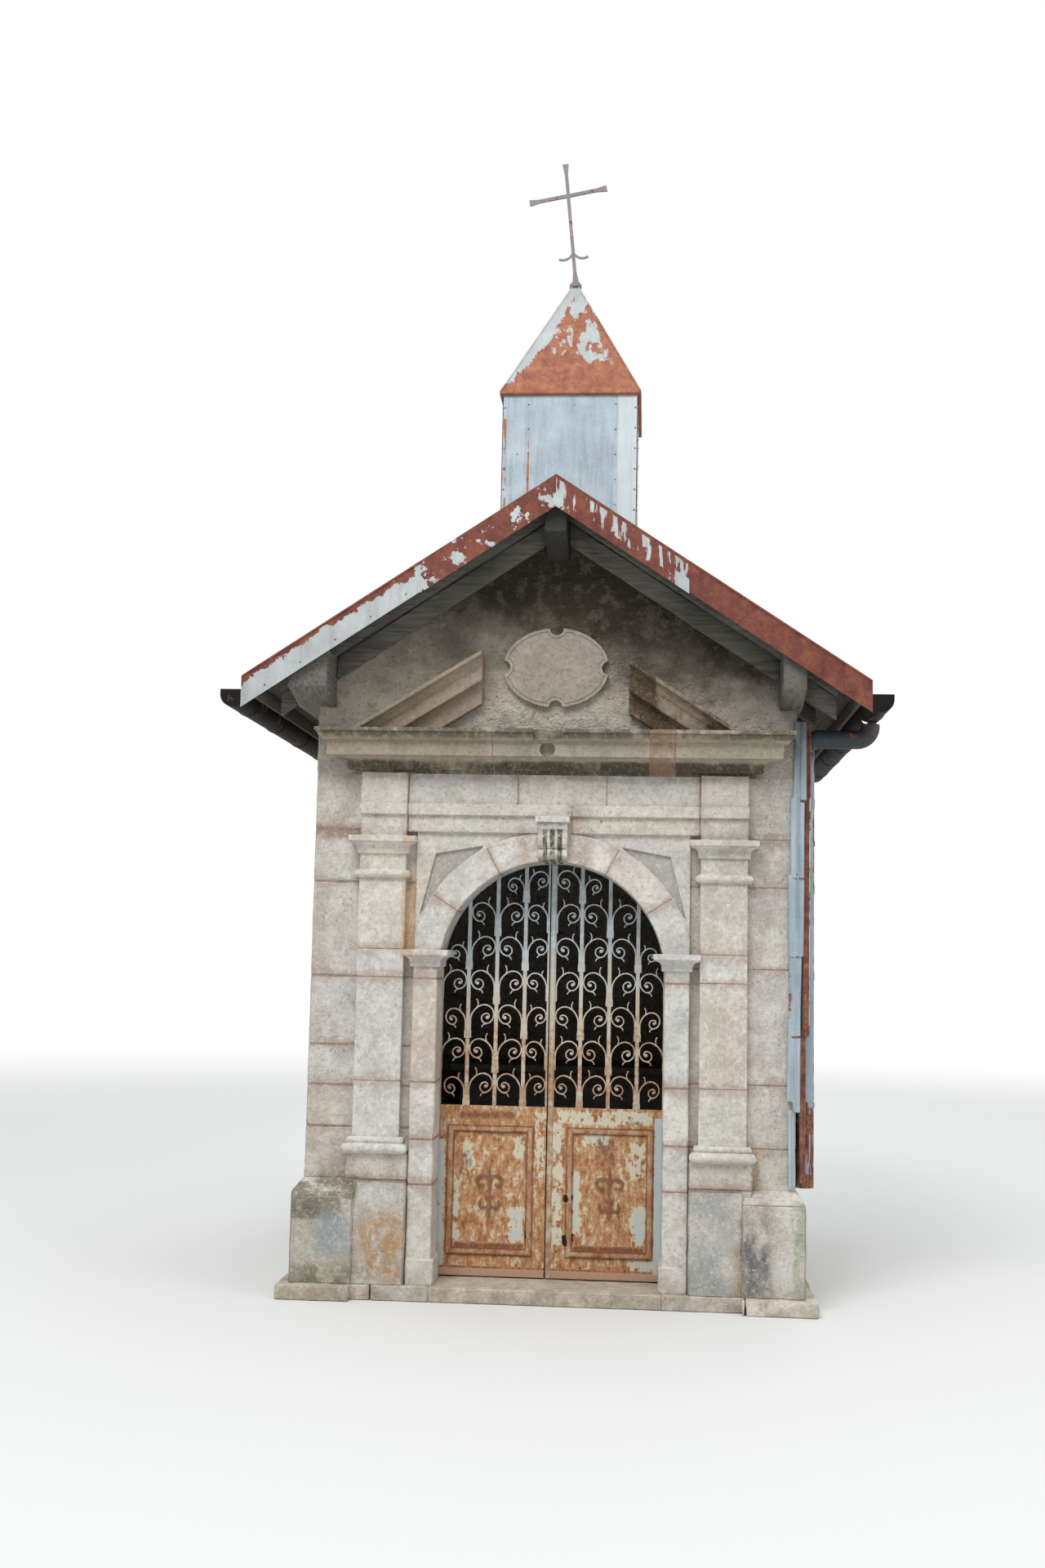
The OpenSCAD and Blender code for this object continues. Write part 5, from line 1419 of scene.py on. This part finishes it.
# Lengths of the sheet folded over the downpipe: heights of the top and the foot, the left edge at
# both, the fold on the right at both, and the notches of a torn foot as (share of width, rise)
COVER = (
    (3.040, 2.622, 1.270, 1.262, 1.334, 1.334, ()),
    (2.640, 2.214, 1.248, 1.252, 1.324, 1.322, ()),
    (2.232, 1.802, 1.238, 1.243, 1.324, 1.320, ()),
    (1.820, 1.392, 1.243, 1.246, 1.312, 1.303, ((0.0, 0.072), (0.42, 0.070), (0.50, 0.0))),
    (1.480, 0.975, 1.239, 1.235, 1.306, 1.304, ((0.0, 0.085), (0.38, 0.078), (0.46, 0.03))),
    (1.015, 0.612, 1.240, 1.244, 1.275, 1.281, ((0.0, 0.0), (0.3, 0.006), (0.8, 0.016))),
)
FLANGE = (
    (3.030, 1.392, 1.326, 1.318, 1.358, 1.354, ()),
    (1.430, 0.640, 1.300, 1.304, 1.336, 1.333, ()),
)
COVER_NAILS = ((1.314, 2.66), (1.284, 2.235), (1.288, 1.83), (1.286, 1.405), (1.277, 1.155))
# Folds of the sheet: share of its width and how far it stands out of the pier
COVER_FOLDS = (
    (0.0, 0.010), (0.06, 0.016), (0.16, 0.019), (0.30, 0.020), (0.42, 0.021), (0.50, 0.024),
    (0.56, 0.032), (0.62, 0.032), (0.68, 0.024), (0.80, 0.023), (0.94, 0.021), (1.0, 0.010),
)
FLANGE_FOLDS = (
    (0.0, -0.004), (0.25, -0.010), (0.5, -0.011), (0.74, -0.009), (0.80, -0.003), (0.92, -0.003),
    (1.0, -0.012), (1.04, -0.060),
)
COVER_ROWS = 14
COVER_THICK = Vector((0, 0.0015, 0))


def sheet_length(bm, entry, folds, lean, seed):
    """A folded length of sheet with a torn foot, closed all round."""
    top, foot, left0, left1, right0, right1, torn = entry
    front = []
    for share, out in folds:
        rise = ([0.0] + [height for place, height in torn if share >= place])[-1]
        rise += 0.006 * noise.noise(Vector((share * 9.0, seed, 0.5)))
        column = []
        for k in range(COVER_ROWS + 1):
            t = k / COVER_ROWS
            z = top + (foot + max(rise, 0.0) - top) * t
            left, right = left0 + (left1 - left0) * t, right0 + (right1 - right0) * t
            dent = 0.003 * noise.noise(Vector((share * 2.0, z * 6.0, seed)))
            y = FRONT - out - lean * t + dent
            column.append(Vector((left + (right - left) * share, y, z)))
        front.append(column)
    near = [[bm.verts.new(spot) for spot in column] for column in front]
    far = [[bm.verts.new(spot + COVER_THICK) for spot in column] for column in front]
    last = len(front) - 1
    for c in range(last):
        for k in range(COVER_ROWS):
            bm.faces.new((near[c][k], near[c][k + 1], near[c + 1][k + 1], near[c + 1][k]))
            bm.faces.new((far[c][k], far[c + 1][k], far[c + 1][k + 1], far[c][k + 1]))
        for k in (0, COVER_ROWS):
            bm.faces.new((near[c][k], near[c + 1][k], far[c + 1][k], far[c][k]))
    for c in (0, last):
        for k in range(COVER_ROWS):
            bm.faces.new((near[c][k], near[c][k + 1], far[c][k + 1], far[c][k]))


class CHAPEL_OT_cover(ChapelOperator):
    """Fold the torn sheets over the downpipe"""

    bl_idname = "chapel.cover"
    bl_label = "Downpipe Cover"

    def execute(self, context):
        for name, lengths, folds, lean, key in (
            ("pipe_cover", COVER, COVER_FOLDS, 0.004, "cover"),
            ("pipe_flange", FLANGE, FLANGE_FOLDS, 0.0, "flange"),
        ):
            bm = bmesh.new()
            for k, entry in enumerate(lengths):
                sheet_length(bm, entry, folds, lean, 3.7 * k)
            make_piece(bm, name, key, 25)
        spots = [(Vector((x, FRONT - 0.026, z)), Vector((0, -1, 0))) for x, z in COVER_NAILS]
        heads("cover_nails", spots, 0.005, 0.003, "nail", seed=9)
        return {"FINISHED"}


# Turret

# How far seams and corner strips stand out, the reach of a strip round its corner, its lap, and
# the height of its foot
STRIP_LIFT, CORNER_STRIP, STRIP_LAP, STRIP_FOOT = 0.0025, 0.03, 0.003, 4.035
# Places of the seams across each face, and their half width
TURRET_SEAMS, TURRET_SEAM_HALF = (-0.25, 0.277), 0.016
# Height of the seams' feet: on the faces above the gables, in the middle, and their fall towards
# the corners; and on the other two faces
GABLE_FOOT, GABLE_FALL, EAVES_FOOT = 4.30, 0.66, 4.0
# Nails: how far inside the ends of a seam, and for the rows beside the corners the inset, the
# height of the lowest and how far the highest is below the top
SEAM_NAILS, CORNER_INSET, CORNER_LOW, CORNER_HIGH = 0.06, 0.012, 4.2, 0.08
# Radii of the roof's hips and of its drip edge
HIP_RADIUS, DRIP_RADIUS = 0.007, 0.009


class CHAPEL_OT_turret(ChapelOperator):
    """Add the seams, folds and nails of the turret and its pyramid roof"""

    bl_idname = "chapel.turret"
    bl_label = "Turret"

    def execute(self, context):
        x1, y1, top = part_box("turret_walls")[1]
        bm = bmesh.new()
        nails = []
        for face in range(4):
            turn = Matrix.Rotation(math.radians(90 * face), 4, "Z")
            rows = []
            for x in TURRET_SEAMS:
                foot = GABLE_FOOT - abs(x) * GABLE_FALL if face % 2 == 0 else EAVES_FOOT
                add_box(
                    bm, (x - TURRET_SEAM_HALF, -y1 - STRIP_LIFT, foot),
                    (x + TURRET_SEAM_HALF, -y1 + 0.004, top - 0.02), turn,
                )
                rows.append((x, foot + SEAM_NAILS, top - SEAM_NAILS, 6))
            for x in (CORNER_INSET - x1, x1 - CORNER_INSET):
                rows.append((x, CORNER_LOW, top - CORNER_HIGH, 7))
            for x, low, high, last in rows:
                for k in range(last + 1):
                    spot = Vector((x, -y1 - STRIP_LIFT, low + (high - low) * k / last))
                    nails.append((turn @ spot, turn.to_3x3() @ Vector((0, -1, 0))))
        for sx in (-1, 1):
            for sy in (-1, 1):
                self.corner(bm, (sx * x1, sx), (sy * y1, sy), top - 0.01)
        soften(bm, 0.001)
        make_piece(bm, "turret_seams", "turret_wall", 40)
        heads("turret_nails", nails, 0.006, 0.0025, "nail", seed=6)
        self.pyramid()
        return {"FINISHED"}

    def corner(self, bm, x, y, top):
        """The two halves of the strip round a corner, given by its places and their signs."""

        def span(place, sign, inside):
            return sorted((place - sign * inside, place + sign * STRIP_LIFT))

        lap = STRIP_LAP if y[1] < 0 else 0.0
        for across, along in (
            (span(*x, CORNER_STRIP), span(*y, lap)), (span(*x, STRIP_LAP), span(*y, CORNER_STRIP))
        ):
            add_box(bm, (across[0], along[0], STRIP_FOOT), (across[1], along[1], top))

    def pyramid(self):
        """Rolled hips, and the drip edge round the foot of the roof."""
        low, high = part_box("turret_roof")
        half, apex = high[0], high[2]
        bm = bmesh.new()
        for sx in (-1, 1):
            for sy in (-1, 1):
                start = Vector((sx * half * 0.995, sy * half * 0.995, low[2] + 0.018))
                tube(bm, start, Vector((sx * 0.02, sy * 0.02, apex - 0.004)), 10, HIP_RADIUS)
        edge, z = half - 0.004, low[2] + DRIP_RADIUS
        corners = [Vector((-edge, -edge, z)), Vector((edge, -edge, z))]
        corners += [Vector((edge, edge, z)), Vector((-edge, edge, z))]
        for start, end in zip(corners, corners[1:] + corners[:1]):
            tube(bm, start, end, 8, DRIP_RADIUS)
        make_piece(bm, "pyramid_hips", "turret_roof", 60)


# Gate

# Rivets of a leaf's sheet: places across its foot and its top, and how far above the one and below
# the other; and places of its two sides, with the first height above the foot and the spacing
RIVETS_ACROSS, RIVETS_FOOT, RIVETS_TOP = (0.045, 0.17, 0.32, 0.47, 0.60), 0.06, 0.015
RIVETS_SIDES, RIVET_FIRST, RIVET_STEP = (0.606, 0.043), 0.14, 0.155


class CHAPEL_OT_gate(ChapelOperator):
    """Rivet the sheets of the gate to its frames"""

    bl_idname = "chapel.gate"
    bl_label = "Gate Rivets"

    def execute(self, context):
        for side, leaf in ((-1, "left_leaf"), (1, "right_leaf")):
            low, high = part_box(leaf + "_panel")
            foot, top = low[2] + RIVETS_FOOT, high[2] - RIVETS_TOP
            places = [(x, z) for x in RIVETS_ACROSS for z in (foot, top)]
            for k in range(5):
                places += [(x, low[2] + RIVET_FIRST + k * RIVET_STEP) for x in RIVETS_SIDES]
            spots = [(Vector((side * x, SHEET_Y, z)), Vector((0, -1, 0))) for x, z in places]
            heads(leaf + "_rivets", spots, 0.006, 0.003, "gate_sheet", leaf, 8)
        return {"FINISHED"}


# Stage

CAMERA_PLACE = (0.5016, -10.142, 1.7722)
CAMERA_YAW, CAMERA_PITCH, CAMERA_ROLL = 4.3735, 5.9692, 1.1667
FOCAL_PIXELS, PHOTO_HEIGHT = 2028.83, 1920.0
SENSOR_HEIGHT = 36.0
FLOOR_REACH = 60.0
# Distances at which the floor begins to fade and is gone
FLOOR_FADE = (6.0, 22.0)
# Direction heights and the sky's strength at them
SKY_RANGE = (0.0, 0.9, 0.16, 1.05)
# Name, place, power and size of each lamp, and the place that they light
LIGHTS = (
    ("key", (-2.6, -8.6, 11.6), 900.0, 5.0),
    ("side", (8.0, -5.0, 8.0), 170.0, 6.0),
    ("back", (2.0, 9.0, 9.0), 300.0, 7.0),
)
LIGHT_AIM = Vector((0, 0, 2.6))


class CHAPEL_OT_stage(ChapelOperator):
    """Set the floor, the lights and the camera"""

    bl_idname = "chapel.stage"
    bl_label = "Stage"

    def execute(self, context):
        self.floor()
        self.sky()
        for name, place, energy, size in LIGHTS:
            data = bpy.data.lights.new(name, "AREA")
            data.energy, data.size = energy, size
            lamp = add_object(name, data)
            lamp.location = place
            aim = LIGHT_AIM - Vector(place)
            lamp.rotation_euler = aim.to_track_quat("-Z", "Y").to_euler()
        self.camera()
        context.scene.view_settings.view_transform = "Standard"
        return {"FINISHED"}

    def floor(self):
        """A pale floor that fades to white away from the chapel."""
        mesh = bpy.data.meshes.new("floor")
        r = FLOOR_REACH
        mesh.from_pydata([(-r, -r, 0), (r, -r, 0), (r, r, 0), (-r, r, 0)], [], [(0, 1, 2, 3)])
        floor = add_object("floor", mesh)
        floor.location.z = -0.001
        material = bpy.data.materials.new("floor")
        material.use_nodes = True
        tree = material.node_tree
        tree.nodes.clear()
        surface = grow(tree, "ShaderNodeBsdfPrincipled", {
            "Base Color": (0.72, 0.72, 0.71), "Roughness": 0.9,
        })
        place = grow(tree, "ShaderNodeTexCoord", output="Object")
        away = grow(tree, "ShaderNodeVectorMath", {0: place}, "Value", operation="LENGTH")
        fade = grow(tree, "ShaderNodeMapRange", {
            "Value": away, "From Min": FLOOR_FADE[0], "From Max": FLOOR_FADE[1],
        }, interpolation_type="SMOOTHSTEP")
        glow = grow(tree, "ShaderNodeEmission")
        mix = grow(tree, "ShaderNodeMixShader", {0: fade, 1: surface, 2: glow})
        grow(tree, "ShaderNodeOutputMaterial", {0: mix})
        mesh.materials.append(material)

    def sky(self):
        """Light from above that the camera sees as plain white."""
        world = bpy.data.worlds.new("studio")
        bpy.context.scene.world = world
        world.use_nodes = True
        tree = world.node_tree
        tree.nodes.clear()
        rays = tree.nodes.new("ShaderNodeLightPath").outputs
        where = grow(tree, "ShaderNodeTexCoord", output="Generated")
        height = grow(tree, "ShaderNodeSeparateXYZ", {0: where}, 2)
        strength = grow(tree, "ShaderNodeMapRange", {0: height, **dict(enumerate(SKY_RANGE, 1))})
        light = grow(tree, "ShaderNodeBackground", {
            "Color": (0.95, 0.97, 1.0), "Strength": strength,
        })
        seen = grow(tree, "ShaderNodeBackground", {"Color": (1, 1, 1), "Strength": 1.0})
        straight = rays["Is Camera Ray"]
        for kind in ("Is Glossy Ray", "Is Transmission Ray"):
            pair = {0: straight, 1: rays[kind]}
            straight = grow(tree, "ShaderNodeMath", pair, operation="MAXIMUM")
        mix = grow(tree, "ShaderNodeMixShader", {0: straight, 1: light, 2: seen})
        grow(tree, "ShaderNodeOutputWorld", {0: mix})

    def camera(self):
        """The camera that took the picture of the chapel."""
        yaw, pitch, roll = (math.radians(v) for v in (CAMERA_YAW, CAMERA_PITCH, CAMERA_ROLL))
        level = math.cos(pitch)
        ahead = Vector((-math.sin(yaw) * level, math.cos(yaw) * level, math.sin(pitch)))
        right = Vector((math.cos(yaw), math.sin(yaw), 0))
        up = right.cross(ahead)
        turned_right = math.cos(roll) * right + math.sin(roll) * up
        turned_up = -math.sin(roll) * right + math.cos(roll) * up
        data = bpy.data.cameras.new("camera")
        data.sensor_fit = "VERTICAL"
        data.sensor_height = SENSOR_HEIGHT
        data.lens = FOCAL_PIXELS / PHOTO_HEIGHT * SENSOR_HEIGHT
        data.clip_end = 200
        camera = add_object("camera", data)
        turn = Matrix((turned_right, turned_up, -ahead)).transposed().to_4x4()
        camera.matrix_world = Matrix.Translation(CAMERA_PLACE) @ turn
        bpy.context.scene.camera = camera


class CHAPEL_PT_panel(bpy.types.Panel):
    """Lists the chapel's settings and steps"""

    bl_label = "Chapel"
    bl_idname = "CHAPEL_PT_panel"
    bl_space_type = "VIEW_3D"
    bl_region_type = "UI"
    bl_category = "Chapel"

    def draw(self, context):
        for name in ChapelSettings.__annotations__:
            self.layout.prop(context.scene.chapel, name)
        for step in STEPS:
            self.layout.operator(step.bl_idname)


STEPS = (
    CHAPEL_OT_materials,
    CHAPEL_OT_walls,
    CHAPEL_OT_front,
    CHAPEL_OT_roof,
    CHAPEL_OT_cover,
    CHAPEL_OT_turret,
    CHAPEL_OT_gate,
    CHAPEL_OT_stage,
)
CLASSES = (ChapelSettings, *STEPS, CHAPEL_PT_panel)


def register():
    for item in CLASSES:
        bpy.utils.register_class(item)
    bpy.types.Scene.chapel = PointerProperty(type=ChapelSettings)


def unregister():
    del bpy.types.Scene.chapel
    for item in reversed(CLASSES):
        bpy.utils.unregister_class(item)


def main():
    register()
    bpy.ops.chapel.materials()
    bpy.ops.chapel.walls()
    bpy.ops.chapel.front()
    bpy.ops.chapel.roof()
    bpy.ops.chapel.cover()
    bpy.ops.chapel.turret()
    bpy.ops.chapel.gate()
    bpy.ops.chapel.stage()


if __name__ == "__main__":
    main()
